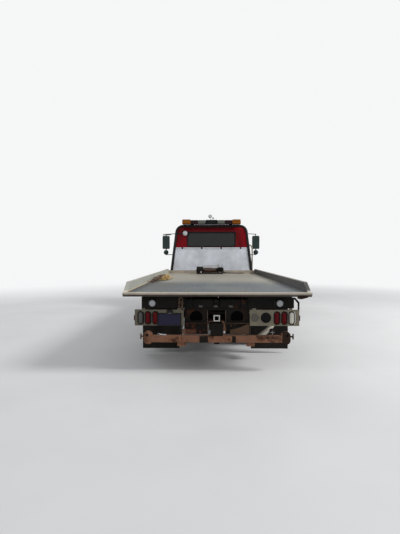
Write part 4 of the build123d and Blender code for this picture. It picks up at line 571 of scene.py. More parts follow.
def tint_where(material, colour, strength, ragged=0.0, soft=0.006, **limits):
    """Mixes a colour into a finish between limits along x, y or z, with a ragged border if asked."""
    tree = material.node_tree
    socket = tree.nodes["Principled BSDF"].inputs["Base Color"]
    before = socket.links[0].from_socket
    place = own_place(tree)
    mask = strength
    for axis, (low, high) in limits.items():
        value = place[axis.upper()]
        if ragged:
            uneven = calc(tree, "SUBTRACT", noise(tree, 14.0, 5.0), 0.5)
            value = calc(tree, "MULTIPLY_ADD", uneven, ragged, value)
        mask = calc(tree, "MULTIPLY", stepped(tree, value, low - soft, low + soft), mask)
        past = calc(tree, "SUBTRACT", 1.0, stepped(tree, value, high - soft, high + soft))
        mask = calc(tree, "MULTIPLY", past, mask)
    tree.links.new(mix_colour(tree, mask, before, rgb(colour)), socket)


tint_where(side_rail_paint, "c4b496", 0.85, ragged=0.03, x=(-1.4, 0.0), z=(1.09, 1.122))
# Painted shadow: a black line along the right rail's foot.
tint_where(side_rail_paint, "050505", 0.9, x=(0.0, 1.262), z=(1.09, 1.112))
tint_where(side_rail_paint, "d9d5c9", 0.7, ragged=0.02, y=(-4.4, -4.235))
# The rails' top band: on the dark right rail it is a painted highlight of the lit top.
tint_where(side_rail_paint, "8f8c82", 0.6, ragged=0.01, z=(1.224, 1.3))
# Painted shade: the right rail's inner face, darker still.
tint_where(side_rail_paint, "0b0d0f", 0.65, ragged=0.03, soft=0.02, x=(1.0, 1.27), z=(1.115, 1.215))
# Painted shade on the rear edge's lower half, and a painted highlight on its upper lip.
tint_where(edge_metal, "2c1f17", 0.85, ragged=0.006, y=REAR_EDGE, z=(1.0, 1.068))
tint_where(edge_metal, "ddd4c4", 0.6, ragged=0.004, y=REAR_EDGE, z=(1.084, 1.2))
# A pale tan patch in the deck's middle: dust, and in part a painted sheen where the deck looks brightest.
tint_where(bed_steel, "beb6a2", 0.5, ragged=0.1, soft=0.9, x=(-1.9, 1.9), y=(-2.1, 1.3))
# Painted shade: the deck's left rear is darkened, as its reflection is darker there.
tint_where(bed_steel, "23282c", 0.6, ragged=0.06, soft=0.35, x=(-1.6, -0.55), y=(-5.0, -2.3))
tint_where(bed_steel, "3f474e", 0.65, ragged=0.02, y=(-4.30, -4.165))
tint_where(bed_steel, "b9b5a8", 0.6, ragged=0.02, y=(1.10, 1.42))
for colour, strength, x, z in (
    ("5a3526", 0.85, (-1.0, 0.0), (0.50, 0.660)),
    ("6a5442", 0.85, (0.0, 1.0), (0.50, 0.660)),
    ("8a6a55", 0.7, (-0.50, -0.435), (0.50, 0.60)),
):
    tint_where(tail_brown_and_shade, colour, strength, ragged=0.02, soft=0.001, x=x, y=TAIL_FACE, z=z)
tint_where(lift_rust, "0b0908", 0.9, ragged=0.03, soft=0.01, x=(0.905, 1.30))
tint_where(lift_rust, "4a3326", 0.6, ragged=0.05, soft=0.03, x=(-1.30, -0.96))
# Painted highlight: the right clear tail lens is paler, as if lit.
tint_where(clear_lens, "f2efdf", 0.8, x=(0.0, 1.3), z=(0.5, 1.0))
# Painted shade: the left lamp plate is darker, as if shaded.
tint_where(plate_cream, "4a453a", 0.55, ragged=0.03, soft=0.05, x=(-1.4, -0.3))
print("finishes with local tints: 7")


# %% [markdown]
# The floor is plain near the truck and fades into the pale surround. It shows pale to the camera
# and to mirrors, and passes less light up than it shows.


# %% Floor's finish
FADE_FROM = 6.0
FADE_TO = 15.0


def make_floor():
    """The studio floor, whose colour depends on what looks at it."""
    made, tree, shader = new_material("studio_floor")
    looked_at = seen_directly(tree)
    tone = ramp(tree, noise(tree, 0.6, 3.0), [(0.3, rgb("d3d3d2")), (0.7, rgb("dadad9"))])
    feed_inputs(tree, shader, Base_Color=mix_colour(tree, looked_at, rgb("a5a5a4"), tone), Roughness=0.9)
    place = add_node(tree, "ShaderNodeTexCoord").outputs["Object"]
    far = add_node(tree, "ShaderNodeVectorMath", operation="LENGTH")
    feed(tree, place, far.inputs[0])
    fade = calc(tree, "MULTIPLY", stepped(tree, far.outputs["Value"], FADE_FROM, FADE_TO), looked_at)
    surround = add_node(tree, "ShaderNodeEmission", **SURROUND)
    mix_shaders(tree, fade, shader, surround, tree.nodes["Material Output"])
    return made


floor.data.materials.append(make_floor())
print("floor fades between", FADE_FROM, "and", FADE_TO, "m")


# %% [markdown]
# Every solid of the frame gets one finish. Most nodes are named after what they are, so the list
# below reads as a list of the truck's parts by their paint.


# %% Paint the frame
def paint(material, *names):
    """Gives every material slot of the named CAD nodes one finish."""
    for name in names:
        for place in nodes[name].material_slots:
            place.material = material


paint(tyre_rubber, "tyre_front_right", "tyre_front_left", "tyres_rear_right", "tyres_rear_left")
paint(rim_paint, "rim_front_right", "rim_front_left", "rims_rear_right", "rims_rear_left")
paint(chassis_black, "chassis_rails", "cross_members", "front_axle", "rear_axle", "leaf_springs", "engine",
      "radiator", "chassis_brackets", "knuckle_right", "knuckle_left")
paint(cab_red, "cab_shell", "hood", "door_right", "door_left")
paint(cab_glass, "cab_glass", "door_glass_right", "door_glass_left")
paint(interior_grey, "cab_interior", "steering_wheel")
paint(bumper_chrome, "bumper")
paint(rod_chrome, "bed_rod", "tilt_rods", "lift_rod")
paint(tank_metal, "fuel_tank", "side_boxes")
paint(flap_rubber, "mud_flaps")
paint(headlamp_lens, "headlamps")
paint(mirror_black, "mirror_right", "mirror_left")
paint(bed_steel, "bed_plate")
paint(edge_metal, "bed_edges")
paint(bed_frame_black_and_shade, "bed_underframe", "tilt_rails", "tilt_cross_members", "rear_beam")
paint(side_rail_paint, "side_rails")
paint(hoop_black, "hoop", "light_bar")
paint(panel_pale, "headboard_panel")
paint(plate_cream, "lamp_plates")
paint(red_lens, "tail_lamps")
paint(tail_brown_and_shade, "tail_bulkhead")
paint(lift_rust, "lift_boom", "stinger", "cross_bar")
paint(cylinder_black, "bed_barrel", "tilt_barrels", "lift_barrel")
paint(winch_brown, "winch_frame", "winch_drum")
unpainted = [name for name, node in nodes.items() if node.material_slots[0].material is None]
print("CAD nodes without a finish", unpainted)


# %% [markdown]
# The pieces that bolt on are made in mesh code. A few small helpers add a bevelled bar, a rod, a
# turned shape, a ring, a skin through outlines or a cut plate to one mesh.


# %% Mesh helpers
BOTH_SIDES = ((1, "right"), (-1, "left"))


def start():
    """An empty mesh to add shapes to."""
    return bmesh.new()


def add_bar(bm, corner, opposite, bevel=0.0, segments=1):
    """A bar between two opposite corners, its edges bevelled."""
    low = Vector([min(pair) for pair in zip(corner, opposite)])
    high = Vector([max(pair) for pair in zip(corner, opposite)])
    place = Matrix.Translation((low + high) / 2) @ Matrix.Diagonal((*(high - low), 1))
    made = bmesh.ops.create_cube(bm, size=1, matrix=place)["verts"]
    bevel_edges(bm, made, bevel, segments)


def bevel_edges(bm, verts, bevel, segments=1):
    """Bevels all edges at the given corners, if the bevel has a width."""
    if bevel:
        edges = list({edge for vert in verts for edge in vert.link_edges})
        bmesh.ops.bevel(bm, geom=edges, offset=bevel, segments=segments, affect="EDGES", profile=0.5)


def add_skin(bm, rows, ends=True, closed=False):
    """Joins outlines of the same length, given as rows of points, into one skin.

    ends closes the first and last row with a face, and closed joins the last row to the first.
    A row of one point is a tip."""
    made = [[bm.verts.new(point) for point in row] for row in rows]
    sides = max(len(row) for row in made)
    for lower, upper in zip(made, made[1:] + made[:1] if closed else made[1:]):
        for n in range(sides):
            m = (n + 1) % sides
            if len(lower) == 1:
                bm.faces.new((lower[0], upper[m], upper[n]))
            elif len(upper) == 1:
                bm.faces.new((lower[n], lower[m], upper[0]))
            else:
                bm.faces.new((lower[n], lower[m], upper[m], upper[n]))
    for row in (made[0], made[-1]):
        if ends and len(row) > 1:
            bm.faces.new(row)
    return made


def along_axis(base, axis):
    """A place whose Z runs along an axis from a base point."""
    turn = Vector((0, 0, 1)).rotation_difference(Vector(axis).normalized()).to_matrix().to_4x4()
    return Matrix.Translation(base) @ turn


def circle(radius, sides):
    """Points round a circle, as (x, y)."""
    angles = [2 * math.pi * n / sides for n in range(sides)]
    return [(radius * math.cos(a), radius * math.sin(a)) for a in angles]


def add_turned(bm, profile, base, axis, sides=24):
    """A closed turned shape. profile lists (radius, height) along the axis from the base point."""
    place = along_axis(base, axis)
    rows = []
    for radius, height in profile:
        points = circle(radius, sides) if radius > 0 else [(0, 0)]
        rows.append([place @ Vector((x, y, height)) for x, y in points])
    add_skin(bm, rows)


def add_rod(bm, begin, end, radius, sides=16, chamfer=0.0):
    """A round bar between two points."""
    begin, end = Vector(begin), Vector(end)
    long = (end - begin).length
    c = min(chamfer, long / 3)
    profile = [(radius, 0), (radius, long)]
    if c:
        profile = [(radius - c, 0), (radius, c), (radius, long - c), (radius - c, long)]
    add_turned(bm, profile, begin, end - begin, sides)


def add_ring(bm, centre, axis, big, small, sides=24, round_sides=8):
    """A closed ring of round bar."""
    place = along_axis(centre, axis)
    rows = []
    for x, y in circle(1.0, sides):
        bar = circle(small, round_sides)
        rows.append([place @ Vector((x * (big + u), y * (big + u), v)) for u, v in bar])
    add_skin(bm, rows, ends=False, closed=True)


def add_plate(bm, outline, push, bevel=0.0):
    """A cut plate: an outline of points in space, pushed along a vector."""
    verts = [bm.verts.new(p) for p in outline]
    face = bm.faces.new(verts)
    made = bmesh.ops.extrude_face_region(bm, geom=[face])["geom"]
    moved = [v for v in made if isinstance(v, bmesh.types.BMVert)]
    bmesh.ops.translate(bm, verts=moved, vec=Vector(push))
    bevel_edges(bm, verts + moved, bevel)


print("shapes: bar, skin, turned, rod, ring, plate")


# %% [markdown]
# Outlines are lists of (x, z) points as seen from behind, with their round stretches as arcs. An
# outline can be grown all round, so that a rim or a dome is a skin through a few grown copies.


# %% Outlines
SLOT_STEPS = 10
CORNER_STEPS = 6


def arc(cx, cz, radius, begin, sweep, steps):
    """Points along an arc, with its angles in degrees."""
    angles = [math.radians(begin + sweep * n / steps) for n in range(steps + 1)]
    return [(cx + radius * math.cos(a), cz + radius * math.sin(a)) for a in angles]


def slot_outline(cx, cz, wide, high, grow=0.0):
    """An upright slot, grown all round."""
    r = (wide + 2 * grow) / 2
    rise = (high + 2 * grow) / 2
    return arc(cx, cz + rise - r, r, 0, 180, SLOT_STEPS) + arc(cx, cz - rise + r, r, 180, 180, SLOT_STEPS)


def lying_slot(cx, cz, high, wide, grow):
    """A slot that lies on its side, grown all round."""
    return [(x, z) for z, x in slot_outline(cz, cx, high, wide, grow)]


def rect_outline(x0, x1, z0, z1, corner, grow=0.0):
    """A rectangle with rounded corners, grown all round."""
    left, right = x0 - grow + corner, x1 + grow - corner
    low, high = z0 - grow + corner, z1 + grow - corner
    points = []
    for n, (x, z) in enumerate(((right, high), (left, high), (left, low), (right, low))):
        points += arc(x, z, corner, 90 * n, 90, CORNER_STEPS)
    return points


def add_grown(bm, outline, sizes, profile, ends=True):
    """A skin through grown copies of an outline of the given sizes. profile lists (y, growth)."""
    add_skin(bm, [[(x, y, z) for x, z in outline(*sizes, grow=grow)] for y, grow in profile], ends)


print("points of a slot:", len(slot_outline(0, 0, 1, 2)))


# %% [markdown]
# The finished mesh becomes a piece that rides on its part of the truck and says which finish it
# wears. A hose or pipe is swept along a smooth curve and turned into a plain mesh.


# %% Pieces
def as_mesh(bm, name="shape"):
    """Mesh code as a plain mesh, its faces pointing outwards."""
    bmesh.ops.recalc_face_normals(bm, faces=bm.faces)
    mesh = bpy.data.meshes.new(name)
    bm.to_mesh(mesh)
    bm.free()
    return mesh


def place_piece(name, mesh, material, body, sharp=35):
    """A finished mesh as a piece that rides on a body, with smooth faces up to an angle."""
    mesh.materials.clear()
    mesh.materials.append(material)
    for face in mesh.polygons:
        face.use_smooth = True
        face.material_index = 0
    mesh.set_sharp_from_angle(angle=math.radians(sharp))
    made = bpy.data.objects.new(name, mesh)
    bpy.context.collection.objects.link(made)
    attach(made, body)
    return made


def finish_piece(name, bm, material, body, sharp=35):
    """Turns mesh code into a piece, its doubles merged."""
    bmesh.ops.remove_doubles(bm, verts=bm.verts, dist=1e-6)
    return place_piece(name, as_mesh(bm, name), material, body, sharp)


def curve_through(points, resolution):
    """Curve data that runs smoothly past a few points."""
    data = bpy.data.curves.new("path", "CURVE")
    data.dimensions = "3D"
    line = data.splines.new("NURBS")
    line.points.add(len(points) - 1)
    for spot, point in zip(line.points, points):
        spot.co = (*point, 1)
    line.order_u = 3
    line.use_endpoint_u = True
    line.resolution_u = resolution
    return data


def swept(name, points, radius, material, body, sides=6):
    """A pipe or hose that runs smoothly past a few points, as a plain mesh."""
    data = curve_through(points, 5)
    data.bevel_depth = radius
    data.bevel_resolution = sides // 2
    data.use_fill_caps = True
    holder = bpy.data.objects.new(name + "_line", data)
    mesh = bpy.data.meshes.new_from_object(holder)
    bpy.data.objects.remove(holder)
    bpy.data.curves.remove(data)
    return place_piece(name, mesh, material, body)


print("CAD nodes to ride with:", len(nodes))


# %% [markdown]
# What repeats is made by Geometry Nodes. There are three small trees: a row of copies along a line, a
# ring of copies round an axle, and links along a path. Each takes the copied shape, the count and
# the sizes as named inputs, and ends in Realize Instances and Set Material, so that the result is a
# plain mesh that an exporter can read.


# %% Repeating trees
def new_tree(name, **inputs):
    """A Geometry Nodes tree with named inputs of the given kinds, and its input and output sockets."""
    tree = bpy.data.node_groups.new(name, "GeometryNodeTree")
    for label, kind in {"Geometry": "Geometry", "Piece": "Object", "Finish": "Material", **inputs}.items():
        tree.interface.new_socket(label, in_out="INPUT", socket_type="NodeSocket" + kind)
    tree.interface.new_socket("Geometry", in_out="OUTPUT", socket_type="NodeSocketGeometry")
    return tree, tree.nodes.new("NodeGroupInput").outputs, tree.nodes.new("NodeGroupOutput").inputs


def close_tree(tree, given, made, points, **rotation):
    """Copies the piece onto the points, realizes the copies and sets their material."""
    shape = add_node(tree, "GeometryNodeObjectInfo", transform_space="ORIGINAL", Object=given["Piece"])
    copies = add_node(tree, "GeometryNodeInstanceOnPoints", Points=points, Instance=shape.outputs["Geometry"],
                      **rotation)
    real = add_node(tree, "GeometryNodeRealizeInstances", Geometry=copies.outputs[0])
    coloured = add_node(tree, "GeometryNodeSetMaterial", Geometry=real.outputs[0], Material=given["Finish"])
    feed(tree, coloured.outputs[0], made[0])
    return tree


def make_row_tree():
    """Copies along a line: the first at Start, each next one Step further."""
    tree, given, made = new_tree("row", Count="Int", Start="Vector", Step="Vector")
    line = add_node(tree, "GeometryNodeMeshLine", mode="OFFSET", Count=given["Count"],
                    Start_Location=given["Start"], Offset=given["Step"])
    return close_tree(tree, given, made, line.outputs[0])


def make_ring_tree():
    """Copies round an axle along X: each is turned so that its +Z points away from the axle."""
    tree, given, made = new_tree("ring", Count="Int", Radius="Float", Centre="Vector")
    line = add_node(tree, "GeometryNodeMeshLine", mode="OFFSET", Count=given["Count"], Offset=(0, 0, 0))
    index = add_node(tree, "GeometryNodeInputIndex").outputs[0]
    angle = calc(tree, "MULTIPLY", calc(tree, "DIVIDE", index, given["Count"]), 2 * math.pi)
    turn = add_node(tree, "ShaderNodeCombineXYZ", X=angle)
    minus = calc(tree, "MULTIPLY", calc(tree, "SINE", angle), -1.0)
    spot = add_node(tree, "ShaderNodeCombineXYZ", Y=calc(tree, "MULTIPLY", minus, given["Radius"]),
                    Z=calc(tree, "MULTIPLY", calc(tree, "COSINE", angle), given["Radius"]))
    total = add_node(tree, "ShaderNodeVectorMath", operation="ADD")
    for socket, value in zip(total.inputs, (spot.outputs[0], given["Centre"])):
        feed(tree, value, socket)
    moved = add_node(tree, "GeometryNodeSetPosition", Geometry=line.outputs[0], Position=total.outputs[0])
    return close_tree(tree, given, made, moved.outputs[0], Rotation=turn.outputs[0])


def make_chain_tree():
    """Links along a curve, Pitch apart, every second one turned a quarter round the curve."""
    tree, given, made = new_tree("chain", Pitch="Float")
    spots = add_node(tree, "GeometryNodeCurveToPoints", mode="LENGTH", Curve=given["Geometry"],
                     Length=given["Pitch"])
    index = add_node(tree, "GeometryNodeInputIndex").outputs[0]
    quarter = calc(tree, "MULTIPLY", calc(tree, "MODULO", index, 2.0), math.pi / 2)
    spin = add_node(tree, "ShaderNodeCombineXYZ", Z=quarter)
    turned = add_node(tree, "FunctionNodeRotateRotation", rotation_space="LOCAL")
    for socket, value in zip(turned.inputs, (spots.outputs["Rotation"], spin.outputs[0])):
        feed(tree, value, socket)
    return close_tree(tree, given, made, spots.outputs["Points"], Rotation=turned.outputs[0])


ROW = make_row_tree()
RING = make_ring_tree()
CHAIN = make_chain_tree()


def run_tree(tree, data, **values):
    """Runs a tree and gives its result as a plain mesh. data is the curve that it follows, if any."""
    holder = bpy.data.objects.new("holder", data or bpy.data.meshes.new("holder"))
    bpy.context.collection.objects.link(holder)
    modifier = holder.modifiers.new("tree", "NODES")
    modifier.node_group = tree
    for item in tree.interface.items_tree:
        if item.in_out == "INPUT" and item.name in values:
            modifier[item.identifier] = values[item.name]
    bpy.context.view_layer.update()
    mesh = bpy.data.meshes.new_from_object(holder.evaluated_get(bpy.context.evaluated_depsgraph_get()))
    bpy.data.objects.remove(holder)
    return mesh


def copies_of(shape, tree, path=None, **values):
    """What a tree makes of a shape, as a plain mesh. The shape is taken away once the tree has run."""
    source = bpy.data.objects.new("copied", as_mesh(shape))
    bpy.context.collection.objects.link(source)
    mesh = run_tree(tree, path, Piece=source, **values)
    bpy.data.objects.remove(source)
    return mesh


def join_meshes(*meshes):
    """Several plain meshes as one mesh."""
    bm = bmesh.new()
    for mesh in meshes:
        bm.from_mesh(mesh)
    made = bpy.data.meshes.new("joined")
    bm.to_mesh(made)
    bm.free()
    return made


def row_piece(name, shape, count, first, step, material, body):
    """One row of copies as a piece."""
    mesh = copies_of(shape, ROW, Count=count, Start=first, Step=step, Finish=material)
    return place_piece(name, mesh, material, body)


print("trees:", ROW.name, RING.name, CHAIN.name)


# %% [markdown]
# The wheels. Each tyre gets the sidewall's rings and a real tread: zigzag ribs on the steered tyres, and
# staggered blocks on the twins behind. The tread stays inside the tyre's own outline. Every hub gets
# its ten nuts, the small bolts of its cap, and each rim its valve.


# %% Tyres
TYRE_R = 0.5
GROOVE_R = 0.484
RIB_LOW = 0.478
RIB_TOP = 0.4988
SHOULDER_TOP = 0.4984
TYRE_SIDES = 72
PITCHES = 52
AXLE_Z = 0.5
FRONT_AXLE_Y = 3.565
REAR_AXLE_Y = -2.305
FRONT_TYRES = (1.010,)
REAR_TYRES = (0.740, 1.070)


def tyre_section():
    """Half a tyre's section from the bead over the sidewall's rings to the groove, then its mirror."""
    side = [
        (0.110, 0.2863), (0.110, 0.303), (0.1135, 0.305), (0.1165, 0.318), (0.1215, 0.340),
        (0.1245, 0.360), (0.1235, 0.362), (0.1255, 0.385), (0.1268, 0.400), (0.1255, 0.402),
        (0.1255, 0.424), (0.1262, 0.426), (0.1225, 0.444), (0.1170, 0.4600), (0.104, 0.476),
        (0.090, GROOVE_R),
    ]
    inside = [(0.0775, 0.454), (0.0955, 0.392), (0.080, 0.2863)]
    return side + [(-x, r) for x, r in reversed(side)] + [(-x, r) for x, r in reversed(inside)] + inside


def add_tread_block(bm, outline, low=RIB_LOW, high=RIB_TOP, shoulder=0.0):
    """One tread block: an outline of (x, along) points between two radii. shoulder drops its outer edge."""
    mid_x = sum(x for x, t in outline) / len(outline)
    rows = []
    for radius, shrink in ((low, 1.0), (high - 0.0015, 1.0), (high, 0.96)):
        drops = [shoulder * (abs(x) > 0.1 and radius > low) for x, t in outline]
        row = [(mid_x + (x - mid_x) * shrink, t * shrink) for x, t in outline]
        rows.append([(x, t, radius - drop) for (x, t), drop in zip(row, drops)])
    bm.faces.new(add_skin(bm, rows, ends=False)[-1])


def steer_pitch():
    """One pitch of a steered tyre: five ribs with zigzag edges."""
    bm = start()
    half = math.tan(math.pi / PITCHES) * TYRE_R
    for middle, wide, bend in ((0, 0.026, 0.004), (0.040, 0.030, -0.004), (-0.040, 0.030, 0.004)):
        a, b = middle - wide / 2, middle + wide / 2
        add_tread_block(bm, [(a, -half), (b, -half), (b + bend, 0), (b, half), (a, half), (a + bend, 0)])
    for side in (-1, 1):
        near, far = side * 0.065, side * 0.112
        outline = [(near, -half), (far, -half), (far, half), (near, half), (side * 0.069, 0)]
        add_tread_block(bm, outline, 0.466, SHOULDER_TOP, 0.026)
    return bm


def drive_pitch():
    """One pitch of a driven tyre: staggered blocks with slanted ends, and deep lugs at the shoulders."""
    bm = start()
    half = math.tan(math.pi / PITCHES) * TYRE_R * 0.80
    for side in (-1, 1):
        near, far, slant = side * 0.004, side * 0.031, side * 0.006
        bent = far + side * 0.003
        outline = [(near, -half), (far, -half - slant), (bent, 0), (far, half - slant), (near, half)]
        add_tread_block(bm, outline)
        near, far = side * 0.039, side * 0.063
        outline = [(near, -half + 0.014), (far, -half + 0.020), (far, half + 0.010), (near, half + 0.004)]
        add_tread_block(bm, outline)
        near, far = side * 0.070, side * 0.114
        outline = [(near, -half), (far, -half + 0.006), (far, half - 0.008), (near, half)]
        add_tread_block(bm, outline, 0.462, SHOULDER_TOP, 0.030)
    return bm


def tyre_piece(name, xs, y, pitch, body, node):
    """The tyres of one end, which stand for their plain CAD tyres. pitch makes one pitch of their tread."""
    bm = start()
    treads = []
    for middle in xs:
        rows = []
        for u, v in circle(1.0, TYRE_SIDES):
            rows.append([(middle + x, y + r * u, AXLE_Z + r * v) for x, r in tyre_section()])
        add_skin(bm, rows, ends=False, closed=True)
        centre = (middle, y, AXLE_Z)
        tread = copies_of(pitch(), RING, Count=PITCHES, Radius=0.0, Centre=centre, Finish=tyre_rubber)
        treads.append(tread)
    made = place_piece(name, join_meshes(as_mesh(bm), *treads), tyre_rubber, body, 30)
    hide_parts(node)


for sign, side in BOTH_SIDES:
    front = [sign * x for x in FRONT_TYRES]
    rear = [sign * x for x in REAR_TYRES]
    tyre_piece("tyre_tread_front_" + side, front, FRONT_AXLE_Y, steer_pitch, "wheel_front_" + side,
               "tyre_front_" + side)
    tyre_piece("tyre_tread_rear_" + side, rear, REAR_AXLE_Y, drive_pitch, "wheels_rear_" + side,
               "tyres_rear_" + side)
print("tyres:", len(tyre_section()), "section points,", PITCHES, "pitches each")


# %% [markdown]
# The nuts stand on the hub's flange, which is proud of the deep dish on a twin wheel and outside the
# disc on a front wheel. Each nut is flanged and shows the end of its stud.


# %% Wheel nuts and valves
NUTS = 10
NUT_CIRCLE = 0.135
NUT_PARTS = (
    # profile, sides
    ([(0.0185, 0), (0.0185, 0.004), (0.0165, 0.005)], 18),
    ([(0.0165, 0.004), (0.0165, 0.019), (0.0140, 0.022)], 6),
    ([(0.0095, 0.020), (0.0095, 0.030), (0.0080, 0.032)], 10),
)
CAP_BOLTS = 8
CAP_CIRCLE = 0.052
CAP_BOLT = [(0.0065, 0), (0.0065, 0.004), (0.0055, 0.005)]
HUBS = (
    # body, y, x of the nuts, of the cap's bolts and of the valve's foot
    ("wheel_front_", "front_", FRONT_AXLE_Y, 1.140, 1.180, 1.115),
    ("wheels_rear_", "rear_", REAR_AXLE_Y, 0.939, 1.075, 1.05),
)


def add_valve(bm, sign, x, y):
    """A tyre's valve: a thin stem and a thicker cap that leans towards the axle."""
    bend = (sign * (x + 0.035), y, AXLE_Z + 0.250)
    add_rod(bm, (sign * x, y, AXLE_Z + 0.262), bend, 0.0045, 10)
    add_rod(bm, bend, (sign * (x + 0.048), y, AXLE_Z + 0.246), 0.0062, 10, 0.001)


for sign, side in BOTH_SIDES:
    for body, end, y, nut_x, cap_x, valve_x in HUBS:
        nut, bolt = start(), start()
        for profile, sides in NUT_PARTS:
            add_turned(nut, profile, (0, 0, NUT_CIRCLE), (sign, 0, 0), sides)
        add_turned(bolt, CAP_BOLT, (0, 0, CAP_CIRCLE), (sign, 0, 0), 6)
        rings = []
        for shape, count, x in ((nut, NUTS, nut_x), (bolt, CAP_BOLTS, cap_x)):
            centre = (sign * x, y, AXLE_Z)
            rings.append(copies_of(shape, RING, Count=count, Radius=0.0, Centre=centre, Finish=tank_metal))
        place_piece("wheel_nuts_" + end + side, join_meshes(*rings), tank_metal, body + side)
        valve = start()
        add_valve(valve, sign, valve_x, y)
        finish_piece("valve_" + end + side, valve, cylinder_black, body + side)
print("hubs:", len(HUBS) * len(BOTH_SIDES))


# %% [markdown]
# The light bar stands for the plain one of the CAD model. It has a dark base on two feet, amber lenses
# at its ends, dark red and clear ones between, and a dark middle. Each lens is fluted along its sides.


# %% Light bar
HOOP_Y = 1.445
BAR_LOW = 2.524
FEET_X = 0.560
LENSES = [
    # finish, x0, x1, height, half depth, radius of the outer corners
    ("amber", -0.845, -0.598, 0.134, 0.125, 0.050),
    ("red", -0.594, -0.390, 0.116, 0.112, 0.006),
    ("clear", -0.386, -0.176, 0.116, 0.112, 0.006),
    ("smoke", -0.172, 0.172, 0.122, 0.116, 0.006),
    ("clear", 0.176, 0.386, 0.116, 0.112, 0.006),
    ("red", 0.390, 0.594, 0.116, 0.112, 0.006),
    ("amber", 0.598, 0.845, 0.134, 0.125, 0.050),
]
END_LENS_X = 0.6
INNER_CORNER = 0.006
FLUTE_PITCH = 0.012
FLUTE_DEEP = 0.0022


def fluted_outline(x0, x1, deep, corner):
    """A lens's outline seen from above: its outer corners rounded, small flutes all round."""
    left = corner if x0 < -END_LENS_X else INNER_CORNER
    right = corner if x1 > END_LENS_X else INNER_CORNER
    path = []
    for x, y, r, begin in ((x1 - right, right - deep, right, -90), (x1 - right, deep - right, right, 0),
                           (x0 + left, deep - left, left, 90), (x0 + left, left - deep, left, 180)):
        path += [Vector((*point, 0)) for point in arc(x, y, r, begin, 90, 8)]
    outline = []
    for here, after in zip(path, path[1:] + path[:1]):
        steps = max(1, round((after - here).length / (FLUTE_PITCH / 2)))
        outline += [here.lerp(after, n / steps) for n in range(steps)]
    middle = Vector(((x0 + x1) / 2, 0, 0))
    return [p + (p - middle).normalized() * (-FLUTE_DEEP if n % 2 else 0) for n, p in enumerate(outline)]


def add_lens(bm, x0, x1, high, deep, corner):
    """One lens: fluted walls that lean in a little, and a flat lid with a bevelled edge."""
    outline = fluted_outline(x0, x1, deep, corner)
    middle = Vector(((x0 + x1) / 2, 0, 0))
    rows = []
    steps = ((0, 0.012), (0.002, high * 0.55), (0.005, high - 0.010), (0.014, high - 0.001), (0.022, high))
    for inset, z in steps:
        near = [p - (p - middle).normalized() * inset for p in outline]
        rows.append([(p.x, HOOP_Y + p.y, BAR_LOW + z) for p in near])
    add_skin(bm, rows)


smoke_lens = worn_paint("smoke_lens", "030405", 0.45, dust=0.0, coat=0.03, shine=0.1)
LENS_FINISH = {"amber": amber_lens, "red": bar_red_lens, "clear": clear_lens, "smoke": smoke_lens}

for kind, finish in LENS_FINISH.items():
    bm = start()
    for which, *sizes in LENSES:
        if which == kind:
            add_lens(bm, *sizes)
    finish_piece("light_bar_" + kind, bm, finish, "bed", 25)

bm = start()
add_bar(bm, (-0.838, HOOP_Y - 0.118, BAR_LOW), (0.838, HOOP_Y + 0.118, BAR_LOW + 0.014), 0.004)
for x in (-0.596, -0.388, -0.174, 0.174, 0.388, 0.596):
    add_bar(bm, (x - 0.0025, HOOP_Y - 0.113, BAR_LOW), (x + 0.0025, HOOP_Y + 0.113, BAR_LOW + 0.112), 0.001)
for foot in (-FEET_X, FEET_X):
    add_bar(bm, (foot - 0.045, HOOP_Y - 0.040, 2.5125), (foot + 0.045, HOOP_Y + 0.040, 2.526), 0.003)
    add_ring(bm, (foot, HOOP_Y, 2.474), (1, 0, 0), 0.0402, 0.0022, 28, 6)
    for x in (foot - 0.028, foot + 0.028):
        add_rod(bm, (x, HOOP_Y - 0.05, 2.5245), (x, HOOP_Y - 0.05, 2.532), 0.007, 6)
bar_base = finish_piece("light_bar_base", bm, hoop_black, "bed")
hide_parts("light_bar")
print("light bar:", len(LENSES), "lenses")


# %% [markdown]
# Two round lamps look back from the light bar. A white faced work lamp hangs on an arm from the
# hoop's left leg, its lead behind it.


# %% Lamps at the headboard
LAMP_SIDES = 32
WORK_LAMP = (-0.759, 1.372, 2.261)


def add_round_lamp(shell, glass, centre, radius, back):
    """A round lamp that looks back: a bowl with a rolled rim, and its glass a little inside."""
    axis = (0, -1, 0)
    bowl = [(0.0, -back), (0.35, -back), (0.62, -back * 0.86), (0.84, -back * 0.55), (0.95, -back * 0.2),
            (0.97, -0.004), (1.0, 0.0), (1.0, 0.008), (0.95, 0.011), (0.91, 0.008), (0.90, 0.0)]
    face = [(0.91, -0.001), (0.80, 0.004), (0.45, 0.009), (0.0, 0.011)]
    for bm, profile in ((shell, bowl), (glass, face)):
        add_turned(bm, [(radius * part, height) for part, height in profile], centre, axis, LAMP_SIDES)


shell, glass = start(), start()
add_round_lamp(shell, glass, (-0.040, HOOP_Y - 0.055, 2.750), 0.052, 0.085)
add_rod(shell, (-0.040, HOOP_Y - 0.010, BAR_LOW + 0.120), (-0.040, HOOP_Y - 0.010, 2.700), 0.011, 12)
add_bar(shell, (-0.062, HOOP_Y - 0.024, BAR_LOW + 0.120), (-0.018, HOOP_Y + 0.010, BAR_LOW + 0.128), 0.002)
add_ring(shell, (0.018, HOOP_Y + 0.004, 2.735), (1, 0, 0), 0.017, 0.005, 14, 6)
add_round_lamp(shell, glass, (0.046, HOOP_Y - 0.045, 2.698), 0.026, 0.04)
add_bar(shell, (-0.030, HOOP_Y - 0.010, 2.668), (0.050, HOOP_Y - 0.002, 2.676), 0.002)
finish_piece("top_lamp", shell, bumper_chrome, "bed")
finish_piece("top_lamp_glass", glass, headlamp_lens, "bed")

